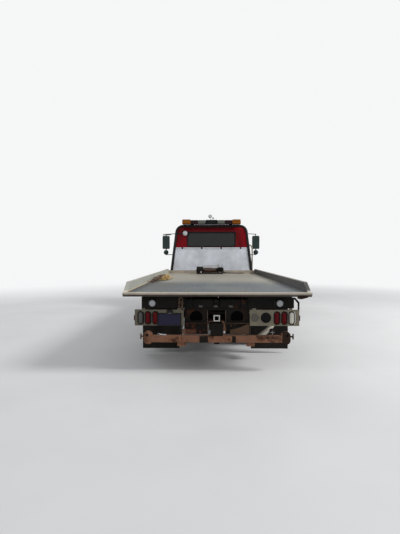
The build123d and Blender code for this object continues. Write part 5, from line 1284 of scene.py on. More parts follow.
shell, glass = start(), start()
add_round_lamp(shell, glass, WORK_LAMP, 0.078, 0.075)
x, y, z = WORK_LAMP
for side in (-1, 1):
    arm = x + side * 0.084
    add_bar(shell, (arm - 0.003, y + 0.004, z - 0.012), (arm + 0.003, y + 0.085, z + 0.012), 0.001)
    add_turned(shell, [(0.009, 0), (0.009, 0.010)], (x + side * 0.082, y + 0.016, z), (side, 0, 0), 6)
add_bar(shell, (-1.012, y + 0.078, z - 0.014), (x + 0.087, y + 0.085, z + 0.014), 0.001)
add_ring(shell, (-1.0195, HOOP_Y, z), (0.13, 0, 1), 0.0402, 0.003, 24, 6)
finish_piece("work_lamp_upper", shell, hoop_black, "bed")
finish_piece("work_lamp_upper_glass", glass, headlamp_lens, "bed")
lead = [(x, y + 0.074, z), (x, y + 0.088, z - 0.004), (-0.82, y + 0.092, z - 0.035),
        (-0.92, y + 0.090, z - 0.030), (-0.985, y + 0.075, z - 0.022)]
swept("work_lamp_upper_lead", lead, 0.004, cylinder_black, "bed")
print("headboard lamps: 3")


# %% [markdown]
# Dark rubber tabs close the four notches in the panel's top rail from the cab's side, as painted shade where
# the notches would show the cab.


# %% Tabs behind the panel's notches
NOTCHES = (-0.845, -0.281, 0.281, 0.845)
bm = start()
for x in NOTCHES:
    add_bar(bm, (x - 0.036, HOOP_Y + 0.016, 1.795), (x + 0.036, HOOP_Y + 0.020, 1.853), 0.001)
# Painted shade: dark tabs in the notches.
finish_piece("panel_notch_tabs", bm, black_rubber, "bed")
print("notch tabs:", len(NOTCHES))


# %% [markdown]
# The tail lamps stand for the plain ones. Each oval has a black rubber grommet on its plate and a domed
# lens: red, red, and clear at the outer end. Red markers sit at the plates' outer ends.


# %% Tail lamps
PLATE_Y = -4.199
OVALS = [(0.847, "red"), (0.950, "red"), (1.052, "clear")]
LAMP_SHIFT = -0.012
OVAL_Z = 0.735
OVAL_W = 0.062
OVAL_H = 0.166
OVAL_DOME = [(-4.186, -0.003), (-4.2035, -0.003), (-4.2085, -0.006), (-4.2120, -0.013), (-4.2135, -0.022)]
OVAL_RUBBER = [(-4.1985, 0.014), (-4.2040, 0.013), (-4.2075, 0.009), (-4.2075, 0.002), (-4.2010, -0.0025),
               (-4.186, -0.0025)]

lens_meshes = {"red": start(), "clear": start()}
grommets = start()
for side in (-1, 1):
    for x, kind in OVALS:
        oval = (side * x + LAMP_SHIFT, OVAL_Z, OVAL_W, OVAL_H)
        add_grown(lens_meshes[kind], slot_outline, oval, OVAL_DOME)
        add_grown(grommets, slot_outline, oval, OVAL_RUBBER, ends=False)
    add_bar(lens_meshes["red"], (side * 1.150, -4.196, 0.700), (side * 1.160, -4.166, 0.770), 0.003)
    add_bar(grommets, (side * 1.1462, -4.198, 0.696), (side * 1.151, -4.163, 0.774), 0.001)
tail_red = finish_piece("tail_lens_red", lens_meshes["red"], red_lens, "tilt_frame", 40)
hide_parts("tail_lamps")
finish_piece("tail_lens_clear", lens_meshes["clear"], clear_lens, "tilt_frame", 40)
finish_piece("tail_grommets", grommets, black_rubber, "tilt_frame", 40)
print("tail lamps:", 2 * len(OVALS))


# %% [markdown]
# What else stands on the two lamp plates: a blank blue plate with its frame on the left, and two
# round reflectors on the right. Two work lamps look back from the beam under the bed, and three
# small oval markers sit in its middle.


# %% Plates and lamps at the tail
BACK = (0, -1, 0)
NUMBER_PLATE_Y = -4.2045
REFLECTOR_Z = 0.740
WORK_LAMPS_Z = 0.943
MARKERS_Z = 0.893
MARKER_DOME = ((-4.158, 0), (-4.168, 0), (-4.1715, -0.004), (-4.173, -0.010))
MARKER_SHELL = ((-4.1552, 0.006), (-4.160, 0.006), (-4.162, 0.0))
plate_blue = worn_paint("plate_blue", "060330", 0.4, rust=0.0, dust=0.03, scale=12.0, grain=0.0001, shine=0.3)
pale_lamp = worn_paint("pale_lamp", "5e5b52", 0.5, rust=0.0, dust=0.3, scale=20.0, shine=0.3)

bm = start()
add_bar(bm, (-0.812, NUMBER_PLATE_Y, 0.636), (-0.508, -4.2015, 0.788), 0.0008)
finish_piece("number_plate", bm, plate_blue, "tilt_frame")
bm = start()
for x0, x1, z0, z1 in ((-0.826, -0.494, 0.622, 0.634), (-0.826, -0.494, 0.790, 0.804),
                       (-0.826, -0.814, 0.622, 0.804), (-0.506, -0.494, 0.622, 0.804)):
    add_bar(bm, (x0, -4.2085, z0), (x1, -4.1995, z1), 0.002)
for x in (-0.745, -0.575):
    for z in (0.650, 0.775):
        add_turned(bm, [(0.007, 0), (0.007, 0.003), (0.005, 0.0045)], (x, NUMBER_PLATE_Y, z), BACK, 12)
finish_piece("number_plate_frame", bm, black_rubber, "tilt_frame")

for name, x, finish, profile in (
    ("dark", 0.684, smoke_lens, [(0.071, 0.0), (0.071, 0.010), (0.066, 0.016), (0.040, 0.021), (0.0, 0.023)]),
    ("pale", 0.528, pale_lamp, [(0.054, 0.0), (0.054, 0.009), (0.050, 0.012), (0.046, 0.010), (0.030, 0.014),
                                (0.0, 0.016)]),
):
    bm = start()
    add_turned(bm, [(0.0, 0.0), *profile], (x, PLATE_Y, REFLECTOR_Z), BACK, 36)
    finish_piece("round_reflector_" + name, bm, finish, "tilt_frame", 50)

shell, glass = start(), start()
add_bar(shell, (-0.694, -4.236, 0.806), (-0.615, -4.1995, 0.851), 0.006)
add_bar(glass, (-0.682, -4.232, 0.8035), (-0.627, -4.206, 0.8065), 0.001)
for side in (-1, 1):
    x = side * 0.882 + LAMP_SHIFT
    add_round_lamp(shell, glass, (x, -4.236, WORK_LAMPS_Z), 0.052, 0.044)
    add_bar(shell, (x - 0.070, -4.1945, 0.903), (x + 0.070, -4.1902, 0.983), 0.002)
    for z in (-0.030, 0.030):
        add_turned(shell, [(0.006, 0), (0.006, 0.006)], (x + 0.062, -4.194, WORK_LAMPS_Z + z), BACK, 6)
finish_piece("work_lamps_rear", shell, hoop_black, "tilt_frame")
finish_piece("work_lamps_rear_glass", glass, headlamp_lens, "tilt_frame")

shell, glass = start(), start()
for x in (-0.222, -0.012, 0.198):
    add_grown(glass, lying_slot, (x, MARKERS_Z, 0.026, 0.056), MARKER_DOME)
    add_grown(shell, lying_slot, (x, MARKERS_Z, 0.030, 0.060), MARKER_SHELL)
finish_piece("middle_markers", shell, hoop_black, "tilt_frame")
finish_piece("middle_marker_lenses", glass, pale_lamp, "tilt_frame", 50)
print("tail: plate, 2 reflectors, 3 lamps, 3 markers")


# %% [markdown]
# The ends of the storage tube and of the boom are the brightest edges under the bed. The tube has white
# paint on its end, and the boom's edges are rubbed bare. The stinger's head in front of it is near
# black. Near black dishes in the two round holes are painted shade, and a cover and two feet finish the
# tail's lower edge.


# %% Edges and covers under the bed
HOLDER_Y = -4.1895
FEET = (-0.490, 0.470)
FEET_Y = -4.232
HOLE_DISH = [(0.104, 0.0), (0.104, 0.004), (0.096, 0.010), (0.090, 0.040), (0.060, 0.050), (0.0, 0.053)]
white_paint = worn_paint("white_paint", "e9e7e2", 0.4, rust=0.08, dust=0.12, scale=9.0)
# Near black: the stinger's head and the bands on the cross bar.
near_black_finish = worn_paint("near_black_finish", "060504", 0.45, rust=0.06, dust=0.05, scale=7.0, tone=0.4,
                          shine=0.1)
rubbed_rim = worn_paint("rubbed_rim", "6a5142", 0.55, rust=0.35, dust=0.1, wear=0.9, bare="b09a88",
                        scale=14.0)
holder_brown = worn_paint("holder_brown", "5b3a2b", 0.75, rust=0.5, dust=0.15, wear=0.4, bare="927058",
                          scale=9.0, shine=0.2)
paint(near_black_finish, "stinger")


def framed(bars, y0, y1, bevel):
    """Bars given as (x0, z0, x1, z1), seen from behind, between two places along Y."""
    bm = start()
    for x0, z0, x1, z1 in bars:
        add_bar(bm, (x0, y0, z0), (x1, y1, z1), bevel)
    return bm


tube = [(-0.044, 0.761, 0.044, 0.776), (-0.044, 0.688, 0.044, 0.703), (-0.044, 0.703, -0.029, 0.761),
        (0.029, 0.703, 0.044, 0.761)]
bm = framed(tube, -4.2025, -4.2005, 0.0015)
finish_piece("tube_end_white", bm, white_paint, "tilt_frame")
boom = [(-0.1135, 0.546, -0.101, 0.682), (0.101, 0.546, 0.1135, 0.682), (-0.1135, 0.546, 0.1135, 0.557),
        (-0.1135, 0.671, 0.1135, 0.682)]
finish_piece("boom_rim", framed(boom, -4.134, -4.118, 0.002), rubbed_rim, "boom")
slot = [(side * 0.1270 - 0.0035, 0.500, side * 0.1270 + 0.0035, 0.832) for side in (-1, 1)]
finish_piece("slot_edges", framed(slot, -4.1545, -4.1490, 0.0015), rubbed_rim, "tilt_frame")

# Painted shade: near black dishes in the two holes.
bm = start()
for x in (-0.287, 0.287):
    add_turned(bm, HOLE_DISH, (x, -4.1358, 0.738), (0, 1, 0), 32)
finish_piece("hole_dishes", bm, painted_shade_black, "tilt_frame")

bm = framed([(-0.4385, 0.5095, -0.2835, 0.5700)], HOLDER_Y, -4.1872, 0.0006)
for x in (-0.412, -0.310):
    add_turned(bm, [(0.011, 0), (0.011, 0.002), (0.007, 0.006)], (x, HOLDER_Y, 0.540), BACK, 6)
finish_piece("holder_cover", bm, holder_brown, "tilt_frame")

bm = framed([(x - 0.058, 0.345, x + 0.058, 0.4035) for x in FEET], FEET_Y, -4.176, 0.005)
for foot in FEET:
    for x in (foot - 0.036, foot + 0.036):
        add_turned(bm, [(0.012, 0), (0.012, 0.008), (0.009, 0.010)], (x, FEET_Y, 0.374), BACK, 6)
finish_piece("cross_bar_feet", bm, lift_rust, "cross_bar")
print("edges and covers: 6 pieces")


# %% [markdown]
# A chain is one link copied along a path, every second copy turned a quarter round it. The loose
# chains lie in a heap along the bed's left rail, rusty behind and gold plated in front. Their paths
# wander from side to side by a seeded random amount, so each run gives the same heap.


# %% Chain links
LINK_PITCH = 0.044
LINK_SIDES = 6
chain_rust = worn_paint("chain_rust", "5f4836", 0.6, rust=0.4, dust=0.15, wear=0.6, bare="e3d3b4", scale=7.0,
                        tone=0.6)
chain_gold = worn_paint("chain_gold", "c4a468", 0.4, metallic=0.3, rust=0.35, dust=0.2, wear=0.6,
                        bare="fff0cf", scale=9.0)


def link_shape(pitch, wire, wide):
    """One chain link, its long side along Z."""
    half = pitch / 2 + wire - wide
    rows = []
    for middle, begin in ((half, 0), (-half, 180)):
        for n in range(6):
            a = math.radians(begin + 180 * n / 5)
            out = Vector((math.cos(a), 0, math.sin(a)))
            spot = Vector((wide * math.cos(a), 0, middle + wide * math.sin(a)))
            rows.append([spot + out * u + Vector((0, v, 0)) for u, v in circle(wire, LINK_SIDES)])
    bm = start()
    add_skin(bm, rows, ends=False, closed=True)
    return bm


def chain_mesh(points, material, pitch=LINK_PITCH, wire=0.006, wide=0.0135):
    """A chain along a few points, as a plain mesh."""
    shape = link_shape(pitch, wire, wide)
    return copies_of(shape, CHAIN, curve_through(points, 6), Pitch=pitch, Finish=material)


def wander(y0, y1, x_mid, swing, z, lift, count):
    """Points of a chain that wanders along Y between two ends."""
    points = []
    for n in range(count):
        t = n / (count - 1)
        side = swing * (1 if n % 2 else -1) * rng.uniform(0.5, 1.0)
        points.append((x_mid + side, y0 + (y1 - y0) * t + rng.uniform(-0.03, 0.03), z + rng.uniform(0, lift)))
    return points


print("links are", LINK_PITCH, "m apart")


# %% [markdown]
# Each heap is a few runs of chain, one above the other. A run is given by its two ends along Y, its
# middle, how far it swings, its height, how far it may lift, and its number of turning points.


# %% Chains on the bed
rusty_runs = [
    wander(-2.45, -1.60, -1.165, 0.070, 1.119, 0.008, 14),
    wander(-1.55, -2.30, -1.150, 0.070, 1.140, 0.012, 12),
    wander(-2.20, -1.50, -1.120, 0.080, 1.150, 0.016, 12),
    wander(-1.50, -2.05, -1.110, 0.060, 1.174, 0.014, 9),
    wander(-1.95, -1.45, -1.080, 0.050, 1.194, 0.012, 8),
]
gold_runs = [
    wander(-1.85, -1.20, -1.000, 0.110, 1.119, 0.008, 16),
    wander(-1.20, -1.75, -0.990, 0.100, 1.142, 0.010, 13),
    wander(-1.70, -1.22, -0.990, 0.080, 1.164, 0.012, 11),
    wander(-1.25, -1.60, -0.980, 0.060, 1.184, 0.010, 8),
    wander(-1.40, 0.30, -1.150, 0.020, 1.119, 0.004, 12),
]
rusty_heap = join_meshes(*(chain_mesh(run, chain_rust) for run in rusty_runs))
gold_heap = join_meshes(*(chain_mesh(run, chain_gold) for run in gold_runs))
place_piece("chain_heap_rusty", rusty_heap, chain_rust, "bed", 60)
place_piece("chain_heap_gold", gold_heap, chain_gold, "bed", 60)
print("chain heaps:", len(rusty_heap.polygons), len(gold_heap.polygons), "faces")


# %% [markdown]
# Keyholes near the deck's rear edge hold a chain's links; each is a near black disc on the deck, painted
# shade for the hole. Ribs stand in the channels along the bed's sides, with amber side lamps between them.
# A bent tube, a hand rail, stands beside the hoop's right leg.


# %% Deck and sides
DECK_Z = 1.1000
KEYHOLE_Y = -4.205
bm, rims = start(), start()
for x in (-0.781, -0.398, 0.398, 0.781):
    add_turned(bm, [(0.026, 0), (0.026, 0.0008)], (x, KEYHOLE_Y, DECK_Z), (0, 0, 1), 20)
    add_bar(bm, (x - 0.009, -4.195, DECK_Z), (x + 0.009, -4.130, 1.1008))
    add_ring(rims, (x, KEYHOLE_Y, 1.1004), (0, 0, 1), 0.0275, 0.0018, 20, 6)
# Painted shade: the keyholes' dark discs.
finish_piece("deck_keyholes", bm, painted_shade_black, "bed")
finish_piece("deck_keyhole_rims", rims, edge_metal, "bed")

for side, name in BOTH_SIDES:
    rib, lamp = start(), start()
    add_bar(rib, (side * 1.2475, -0.005, 1.0482), (side * 1.2925, 0.005, 1.0918), 0.001)
    row_piece("edge_ribs_" + name, rib, 9, (0, -3.92, 0), (0, 0.62, 0), edge_metal, "bed")
    add_bar(lamp, (side * 1.2600, -0.045, 1.0545), (side * 1.2945, 0.045, 1.0855), 0.006, 2)
    row_piece("side_lamps_" + name, lamp, 4, (0, -3.61, 0), (0, 1.55, 0), amber_lens, "bed")

rail = [(x, 1.443, z) for x, z in ((1.180, 1.192), (1.182, 1.50), (1.186, 1.76), (1.176, 1.87),
                                   (1.128, 1.925), (1.080, 1.931))]
swept("hand_rail", rail, 0.019, plate_cream, "bed", 12)
bm = start()
outline = [(x, -4.292, z) for x, z in ((1.105, 1.0405), (1.105, 1.016), (1.150, 1.008), (1.245, 1.033),
                                       (1.245, 1.0405))]
add_plate(bm, outline, (0, 0.045, 0), 0.001)
finish_piece("bed_corner_bracket", bm, lift_rust, "bed")
print("deck: 4 keyholes, 18 ribs, 8 side lamps")


# %% [markdown]
# The winch carries its rope in even turns between two flanges. A bar keeps the rope down, the gearbox
# has a ring of bolts and a pull knob, and the motor has two levers and two pipes down to the deck.


# %% Winch
DRUM_Y = 1.205
DRUM_Z = 1.205
ROPE_PITCH = 0.0123
UP = (0, 0, 1)
rope_wire = worn_paint("rope_wire", "2a1d16", 0.5, metallic=0.4, rust=0.5, dust=0.2, scale=30.0, grain=0.0008)

for name, count, first, big in (("inner", 30, -0.2165, 0.0583), ("outer", 19, -0.2100, 0.0690)):
    turn = start()
    add_ring(turn, (0, 0, 0), (1, 0, 0), big, 0.0060, 28, 6)
    row_piece("rope_turns_" + name, turn, count, (first, DRUM_Y, DRUM_Z), (ROPE_PITCH, 0, 0), rope_wire,
              "winch_drum")

bm = start()
add_bar(bm, (-0.262, 1.183, 1.316), (0.200, 1.227, 1.334), 0.004)
add_bar(bm, (0.172, 1.180, 1.2655), (0.200, 1.230, 1.318), 0.002)
add_bar(bm, (-0.262, 1.180, 1.298), (-0.242, 1.230, 1.318), 0.002)
finish_piece("winch_rope_bar", bm, edge_metal, "bed")

head = start()
add_turned(head, [(0.0116, 0), (0.0116, 0.0016)], (0, 0, 0), (-1, 0, 0), 16)
add_turned(head, [(0.008, 0.0016), (0.008, 0.0072), (0.00688, 0.008)], (0, 0, 0), (-1, 0, 0), 6)
bolts = copies_of(head, RING, Count=8, Radius=0.084, Centre=(-0.4172, DRUM_Y, DRUM_Z), Finish=cylinder_black)
place_piece("winch_gear_bolts", bolts, cylinder_black, "bed")

bm = start()
left_cap = [(0.045, 0), (0.045, 0.010), (0.030, 0.016), (0.016, 0.020)]
right_cap = [(0.050, 0), (0.050, 0.012), (0.040, 0.020), (0.020, 0.024)]
lever_ball = [(0.005, 0), (0.009, 0.004), (0.010, 0.012), (0.006, 0.019)]
add_turned(bm, left_cap, (-0.4172, DRUM_Y, DRUM_Z), (-1, 0, 0), 24)
add_turned(bm, right_cap, (0.3202, DRUM_Y, DRUM_Z + 0.020), (1, 0, 0), 24)
for x, lean in ((0.232, -0.035), (0.272, 0.030)):
    add_rod(bm, (x, 1.150, DRUM_Z + 0.064), (x + lean, 1.130, 1.352), 0.0045, 8)
    add_turned(bm, lever_ball, (x + lean, 1.130, 1.350), UP, 12)
add_bar(bm, (0.215, 1.128, 1.262), (0.292, 1.170, 1.276), 0.003)
for x in (-0.380, 0.285):
    for y in (1.100, 1.312):
        add_turned(bm, [(0.016, 0), (0.016, 0.003), (0.011, 0.003), (0.011, 0.011)], (x, y, 1.122), UP, 6)
finish_piece("winch_fittings", bm, cylinder_black, "bed")
bm = start()
knob = [(0.006, 0), (0.006, 0.030), (0.016, 0.034), (0.020, 0.044), (0.016, 0.054), (0.006, 0.058)]
add_turned(bm, knob, (-0.300, 1.099, 1.153), BACK, 16)
finish_piece("winch_knob", bm, bumper_chrome, "bed", 50)
for n, x in enumerate((0.245, 0.290)):
    apart = n * 0.024
    pipe = [(x, 1.235, 1.268), (x + 0.01, 1.330, 1.265), (x + 0.03, 1.375, 1.235), (x + 0.05, 1.382, 1.150),
            (x + 0.11, 1.384, 1.112 + n * 0.001), (x + 0.55, 1.386 - apart, 1.110),
            (0.93, 1.388 - apart, 1.110)]
    swept("winch_pipe_%d" % n, pipe, 0.009, cylinder_black, "bed", 10)
print("winch: 49 turns of rope")


# %% [markdown]
# Short chains hang at the tail. One is hooked on the stinger's head, and its ring lies on the cross bar.
# Another hangs in a ring under the bed's rear edge, on a bar in the beam. Two bands lie round the
# cross bar, a bright pin locks its left claw, and a bent plate closes the beam's right end.


# %% Chains and brackets at the tail
SMALL_LINK = {"pitch": 0.036, "wire": 0.005, "wide": 0.011}
LOOP_Y = -4.238
LOOP_LINK = {"pitch": 0.030, "wire": 0.0045, "wide": 0.0095}
lift_dark = worn_paint("lift_dark", "1c1512", 0.6, rust=0.5, dust=0.1, wear=0.6, bare="8d7a68",
                       scale=6.0, tone=0.7)

path = [(0.094, -4.226, 0.662), (0.102, -4.238, 0.620), (0.105, -4.240, 0.570), (0.106, -4.240, 0.510)]
place_piece("stinger_chain", chain_mesh(path, lift_rust, **SMALL_LINK), lift_rust, "stinger", 60)
bm = start()
add_bar(bm, (0.086, -4.250, 0.640), (0.100, -4.214, 0.654), 0.003)
finish_piece("stinger_chain_hook", bm, lift_dark, "stinger")
bm = start()
link = [(0.007, 0), (0.012, 0.006), (0.012, 0.030), (0.007, 0.036)]
add_turned(bm, link, (0.106, -4.258, 0.566), (0, 0, -1), 10)
finish_piece("stinger_chain_link_bright", bm, rod_chrome, "stinger", 50)

path = [(0.098, -4.260, 0.486), (0.104, -4.2605, 0.470), (0.116, -4.260, 0.458), (0.132, -4.260, 0.452)]
ring = start()
add_ring(ring, (0.163, -4.259, 0.446), (0, 1, 0), 0.030, 0.0075, 22, 8)
add_bar(ring, (0.196, -4.2575, 0.410), (0.210, -4.2500, 0.484), 0.002)
hung = join_meshes(chain_mesh(path, lift_rust, **SMALL_LINK), as_mesh(ring))
place_piece("cross_bar_chain", hung, lift_rust, "cross_bar", 60)

bands = framed([(-0.238, 0.4025, -0.122, 0.4925), (0.206, 0.4025, 0.262, 0.4925)], -4.2515, -4.2485, 0.0008)
finish_piece("cross_bar_bands", bands, near_black_finish, "cross_bar")
bm = start()
add_rod(bm, (-0.800, -4.212, 0.506), (-0.702, -4.216, 0.498), 0.0135, 14, 0.003)
add_ring(bm, (-0.806, -4.211, 0.507), (0, 1, 0), 0.014, 0.0035, 14, 6)
finish_piece("claw_lock_pin", bm, rod_chrome, "cross_bar", 50)

loop = start()
add_ring(loop, (-0.497, LOOP_Y, 1.002), (0, 1, 0), 0.028, 0.005, 24, 8)
add_bar(loop, (-0.505, -4.252, 1.012), (-0.489, -4.188, 1.0248), 0.002)
strands = []
for x in (-0.516, -0.476):
    path = [(x, LOOP_Y, 0.978), (x - 0.003, LOOP_Y, 0.930), (x - 0.004, LOOP_Y - 0.001, 0.888)]
    strands.append(chain_mesh(path, chain_rust, **LOOP_LINK))
place_piece("tail_chain_loop", join_meshes(as_mesh(loop), *strands), chain_rust, "tilt_frame", 60)

bm = start()
outline = [(x, -4.190, z) for x, z in (
    (1.052, 0.872), (1.052, 1.020), (1.092, 1.020), (1.150, 0.955), (1.150, 0.851),
    (1.128, 0.851), (1.128, 0.940), (1.080, 0.996), (1.074, 0.996), (1.074, 0.872),
)]
add_plate(bm, outline, (0, 0.018, 0), 0.001)
finish_piece("beam_end_bracket", bm, bed_frame_black_and_shade, "tilt_frame")
print("tail chains: 3")


# %% [markdown]
# A pale exhaust pipe bends out under the bed and ends behind the right flap, where a clamp with a
# pale cross holds it.


# %% Exhaust pipe
pipe_pale = worn_paint("pipe_pale", "b9b2a6", 0.5, metallic=0.5, rust=0.18, dust=0.2, scale=8.0)
path = [(0.470, -3.290, 0.700), (0.620, -3.330, 0.715), (0.800, -3.400, 0.700), (0.895, -3.480, 0.640),
        (0.900, -3.550, 0.560), (0.845, -3.600, 0.480), (0.750, -3.640, 0.415), (0.665, -3.660, 0.355)]
swept("exhaust_pipe", path, 0.042, pipe_pale, "chassis", 16)
bm = start()
add_ring(bm, (0.868, -3.665, 0.425), (0, 1, 0), 0.034, 0.008, 24, 8)
add_turned(bm, [(0.036, 0), (0.036, 0.010)], (0.868, -3.661, 0.425), (0, 1, 0), 24)
add_bar(bm, (0.835, -3.660, 0.440), (0.880, -3.600, 0.480), 0.002)
finish_piece("exhaust_clamp", bm, hoop_black, "chassis")
bm = start()
add_bar(bm, (0.836, -3.671, 0.420), (0.900, -3.663, 0.430), 0.002)
add_bar(bm, (0.863, -3.671, 0.393), (0.873, -3.663, 0.457), 0.002)
finish_piece("exhaust_clamp_cross", bm, pipe_pale, "chassis")
print("exhaust: pipe, clamp and cross")


# %% [markdown]
# The cab's openings have black rubber round the glass. The outline of an opening is a rectangle with
# rounded corners, and the rubber is a skin between a few copies of it, each a little larger and further out.


# %% Window rubber and belt strips
REAR_RUBBER = (
    # y, growth beyond the opening's edge
    (1.597, -0.022), (1.583, -0.022), (1.5785, -0.016), (1.5765, 0.004), (1.5785, 0.014), (1.5835, 0.017),
)
GRAB_Y = 1.690


def rear_opening(grow):
    """The rear window's outline, grown all round. Its corners get rounder as it grows."""
    return rect_outline(-0.702, 0.702, 1.887, 2.300, 0.040 + max(grow, 0), grow)


bm = start()
add_grown(bm, rear_opening, (), REAR_RUBBER, ends=False)
finish_piece("rear_window_rubber", bm, black_rubber, "chassis")

for side, name in BOTH_SIDES:
    bm = start()
    add_bar(bm, (side * 1.0665, 1.880, 1.684), (side * 1.0745, 2.835, 1.6995), 0.002)
    finish_piece("belt_strip_" + name, bm, black_rubber, "door_" + name)
    bm = start()
    add_bar(bm, (side * 1.0765, 1.860, 1.486), (side * 1.0835, 2.010, 1.552), 0.003, 2)
    add_bar(bm, (side * 1.0835, 1.885, 1.508), (side * 1.0995, 1.990, 1.530), 0.006, 2)
    lock = [(0.011, 0), (0.011, 0.004), (0.008, 0.006)]
    add_turned(bm, lock, (side * 1.0763, 1.905, 1.462), (side, 0, 0), 16)
    finish_piece("door_handle_" + name, bm, black_rubber, "door_" + name)
    rail = [(side * x, GRAB_Y, z) for x, z in ((1.074, 1.190), (1.118, 1.196), (1.124, 1.240), (1.124, 1.400),
                                               (1.124, 1.560), (1.118, 1.604), (1.074, 1.610))]
    swept("grab_handle_" + name, rail, 0.013, bumper_chrome, "chassis", 10)
print("doors: a belt strip, a handle and a grab handle each")


# %% [markdown]
# Each mirror head has glass in its rear face, and a round convex mirror below it. The glass is a
# polished plate that mirrors the pale studio. The left arm is a thick pale tube, as in the photograph.


# %% Mirrors
MIRROR_MID = 1.465
CONVEX_Z = 1.729
CONVEX = [(0.071, 0.0), (0.071, 0.0015), (0.060, 0.006), (0.042, 0.010), (0.022, 0.0125), (0.0, 0.0133)]
mirror_glass = make_chrome("mirror_glass", "2e3b3a", 0.05, 0.03)

for side, name in BOTH_SIDES:
    glass, trim = start(), start()
    x = side * MIRROR_MID
    x0, x1 = sorted((side * 1.3645, side * 1.5655))
    add_grown(glass, rect_outline, (x0, x1, 1.8535, 2.2515, 0.022), ((2.7775, 0), (2.7735, 0)))
    add_turned(glass, CONVEX, (x, 2.7752, CONVEX_Z), BACK, 32)
    finish_piece("mirror_glass_" + name, glass, mirror_glass, "door_" + name, 30)
    add_ring(trim, (x, 2.776, CONVEX_Z), (0, 1, 0), 0.0745, 0.0045, 36, 8)
    add_bar(trim, (x - 0.020, 2.868, 2.020), (x + 0.020, 2.8835, 2.080), 0.003)
    finish_piece("mirror_trim_" + name, trim, mirror_black, "door_" + name)
bm = start()
add_rod(bm, (-1.573, 2.842, 2.308), (-1.300, 2.836, 2.316), 0.024, 16, 0.004)
finish_piece("mirror_arm_cover", bm, rim_paint, "door_left")
print("mirrors: 2")


# %% [markdown]
# The front has a bright surround round the grille, bezels and amber turn lamps beside the headlamps,
# wipers on the windscreen and ribbed pads on the bumper. Five amber markers stand along the roof's
# front edge. A near black screen behind the grille's bars closes the view through to the back, as painted
# shade.


# %% Front of the cab
GRILLE = [(-0.415, 4.283, 0.950), (0.415, 4.283, 0.950), (0.418, 4.281, 1.180), (0.412, 4.272, 1.270),
          (0.400, 4.236, 1.408), (-0.400, 4.236, 1.408), (-0.412, 4.272, 1.270), (-0.418, 4.281, 1.180)]
GRILLE_KNOT = [(0.0, -0.0125), (0.009, -0.009), (0.0125, 0.0), (0.009, 0.009), (0.0, 0.0125)]
LAMPS_Y = 4.236
BEZEL = ((LAMPS_Y, -0.001), (4.2535, -0.001), (4.2555, 0.004), (4.2545, 0.014), (LAMPS_Y, 0.016))
TURN_LAMP = ((LAMPS_Y, 0.0), (4.2560, 0.0), (4.2600, -0.004))
PAD_RIBS = 9

bm = start()
for here, after in zip(GRILLE, GRILLE[1:] + GRILLE[:1]):
    add_rod(bm, here, after, 0.012, 12)
    add_turned(bm, GRILLE_KNOT, here, (0, 1, 0), 12)
finish_piece("grille_surround", bm, bumper_chrome, "hood", 50)
bm = start()
# Painted shade: a near black screen behind the grille's bars.
add_bar(bm, (-0.3996, 4.2255, 0.9604), (0.3996, 4.2315, 1.3996), 0.001)
finish_piece("grille_screen", bm, painted_shade_black, "hood")

bezels, turns = start(), start()
for side in (-1, 1):
    headlamp = (*sorted((side * 0.674, side * 0.926)), 0.849, 1.011, 0.014)
    turn_lamp = (*sorted((side * 0.948, side * 1.010)), 0.860, 1.000, 0.012)
    add_grown(bezels, rect_outline, headlamp, BEZEL, ends=False)
    add_grown(turns, rect_outline, turn_lamp, TURN_LAMP)
finish_piece("headlamp_bezels", bezels, bumper_chrome, "hood")
finish_piece("turn_lamps_front", turns, amber_lens, "hood")

bm = start()
add_bar(bm, (-0.046, 2.590, 2.4795), (0.046, 2.668, 2.4900), 0.003)
add_bar(bm, (-0.038, 2.594, 2.4880), (0.038, 2.662, 2.5110), 0.009, 3)
row_piece("roof_markers", bm, 5, (-0.640, 0, 0), (0.320, 0, 0), amber_lens, "chassis")

bm = start()
for pivot in (-0.42, 0.40):
    add_turned(bm, [(0.020, 0), (0.020, 0.012), (0.012, 0.018)], (pivot, 3.052, 1.700), (0, 0.9, 0.42), 16)
    add_rod(bm, (pivot, 3.066, 1.712), (pivot - 0.24, 3.043, 1.792), 0.006, 8)
    add_bar(bm, (pivot - 0.52, 3.036, 1.780), (pivot + 0.03, 3.046, 1.794), 0.002)
finish_piece("wipers", bm, black_rubber, "chassis")

pads = start()
for side in (-1, 1):
    add_bar(pads, (side * 0.420, 4.235, 0.6402), (side * 0.800, 4.290, 0.6442), 0.0015)
    for n in range(PAD_RIBS):
        x = side * (0.440 + n * 0.0425)
        add_bar(pads, (x - 0.004, 4.240, 0.6440), (x + 0.004, 4.285, 0.6462), 0.001)
finish_piece("bumper_pads", pads, black_rubber, "chassis")
print("front: grille, lamps, 5 markers, 2 wipers, 2 pads")


# %% [markdown]
# Low on the truck, straps hold the fuel tank and its cap stands at the front end. The side boxes have
# a pressed door with a latch each, the steps a chequered tread, and the flaps a row of bolts.


# %% Tanks, boxes, steps and flaps
TANK = {"x_in": 0.48, "x_out": 1.090, "z0": 0.430, "z1": 0.900, "corner": 0.090}
BOX_DOORS = (
    # x of the face, then the door's ends along Y and Z
    (1.090, 1.700, 2.320, 0.475, 0.855),
    (1.110, -0.850, 0.210, 0.480, 0.840),
)
FLAP_BOLTS = 5
CAP = [(0.052, 0), (0.052, 0.016), (0.047, 0.022), (0.020, 0.026), (0.0, 0.026)]
FLAP_BOLT = [(0.016, 0), (0.016, 0.002), (0.009, 0.002), (0.009, 0.009)]


def strap_outline(x_in, x_out, z0, z1, corner, grow):
    """Three sides of a tank's section with rounded outer corners, as (x, z) points."""
    low = arc(x_out - corner, z0 + corner, corner + grow, 270, 90, 8)
    high = arc(x_out - corner, z1 - corner, corner + grow, 0, 90, 8)
    return [(x_in, z0 - grow), *low, *high, (x_in, z1 + grow)]


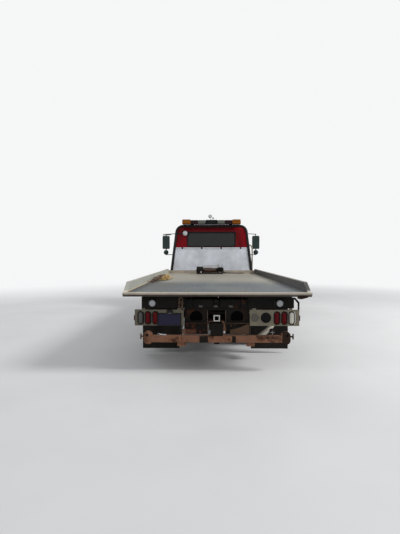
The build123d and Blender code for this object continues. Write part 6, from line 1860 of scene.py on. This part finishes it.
straps = start()
for y in (1.935, 2.520):
    inner, outer = ([(-x, y, z) for x, z in strap_outline(**TANK, grow=grow)] for grow in (0.0005, 0.0040))
    add_plate(straps, inner + outer[::-1], (0, 0.050, 0))
finish_piece("tank_straps", straps, edge_metal, "chassis")
cap = start()
add_turned(cap, CAP, (-0.985, 2.690, 0.888), (-0.35, 0, 0.94), 28)
add_rod(cap, (-1.000, 2.690, 0.918), (-1.020, 2.690, 0.905), 0.010, 10)
finish_piece("tank_cap", cap, cylinder_black, "chassis", 40)

bm, latches = start(), start()
for x, y0, y1, z0, z1 in BOX_DOORS:
    add_bar(bm, (x + 0.0003, y0, z0), (x + 0.0055, y1, z1), 0.004)
    add_bar(bm, (x + 0.0055, y0 + 0.05, z0 + 0.05), (x + 0.0085, y1 - 0.05, z1 - 0.05), 0.002)
    y = (y0 + y1) / 2
    add_bar(latches, (x + 0.0085, y - 0.055, z1 - 0.105), (x + 0.0125, y + 0.055, z1 - 0.058), 0.002)
    add_bar(latches, (x + 0.0125, y - 0.012, z1 - 0.100), (x + 0.0225, y + 0.012, z1 - 0.064), 0.003)
    for y in (y0 + 0.12, y1 - 0.12):
        add_rod(latches, (x + 0.007, y - 0.035, z0 + 0.004), (x + 0.007, y + 0.035, z0 + 0.004), 0.0055, 8)
finish_piece("box_doors", bm, tank_metal, "chassis")
finish_piece("box_latches", latches, cylinder_black, "chassis")

for side, name in BOTH_SIDES:
    tooth = start()
    add_bar(tooth, (side * 0.955, -0.006, 0.9281), (side * 1.085, 0.006, 0.9325), 0.002)
    row_piece("step_treads_" + name, tooth, 22, (0, 1.830, 0), (0, 0.0440, 0), tank_metal, "chassis")

flaps = start()
for side in (-1, 1):
    for n in range(FLAP_BOLTS):
        x = side * (0.650 + n * 0.122)
        add_turned(flaps, FLAP_BOLT, (x, -3.2552, 0.778), BACK, 6)
finish_piece("flap_bolts", flaps, edge_metal, "chassis")
print("low parts: 2 straps, a cap, 2 doors, 44 treads,", 2 * FLAP_BOLTS, "bolts")
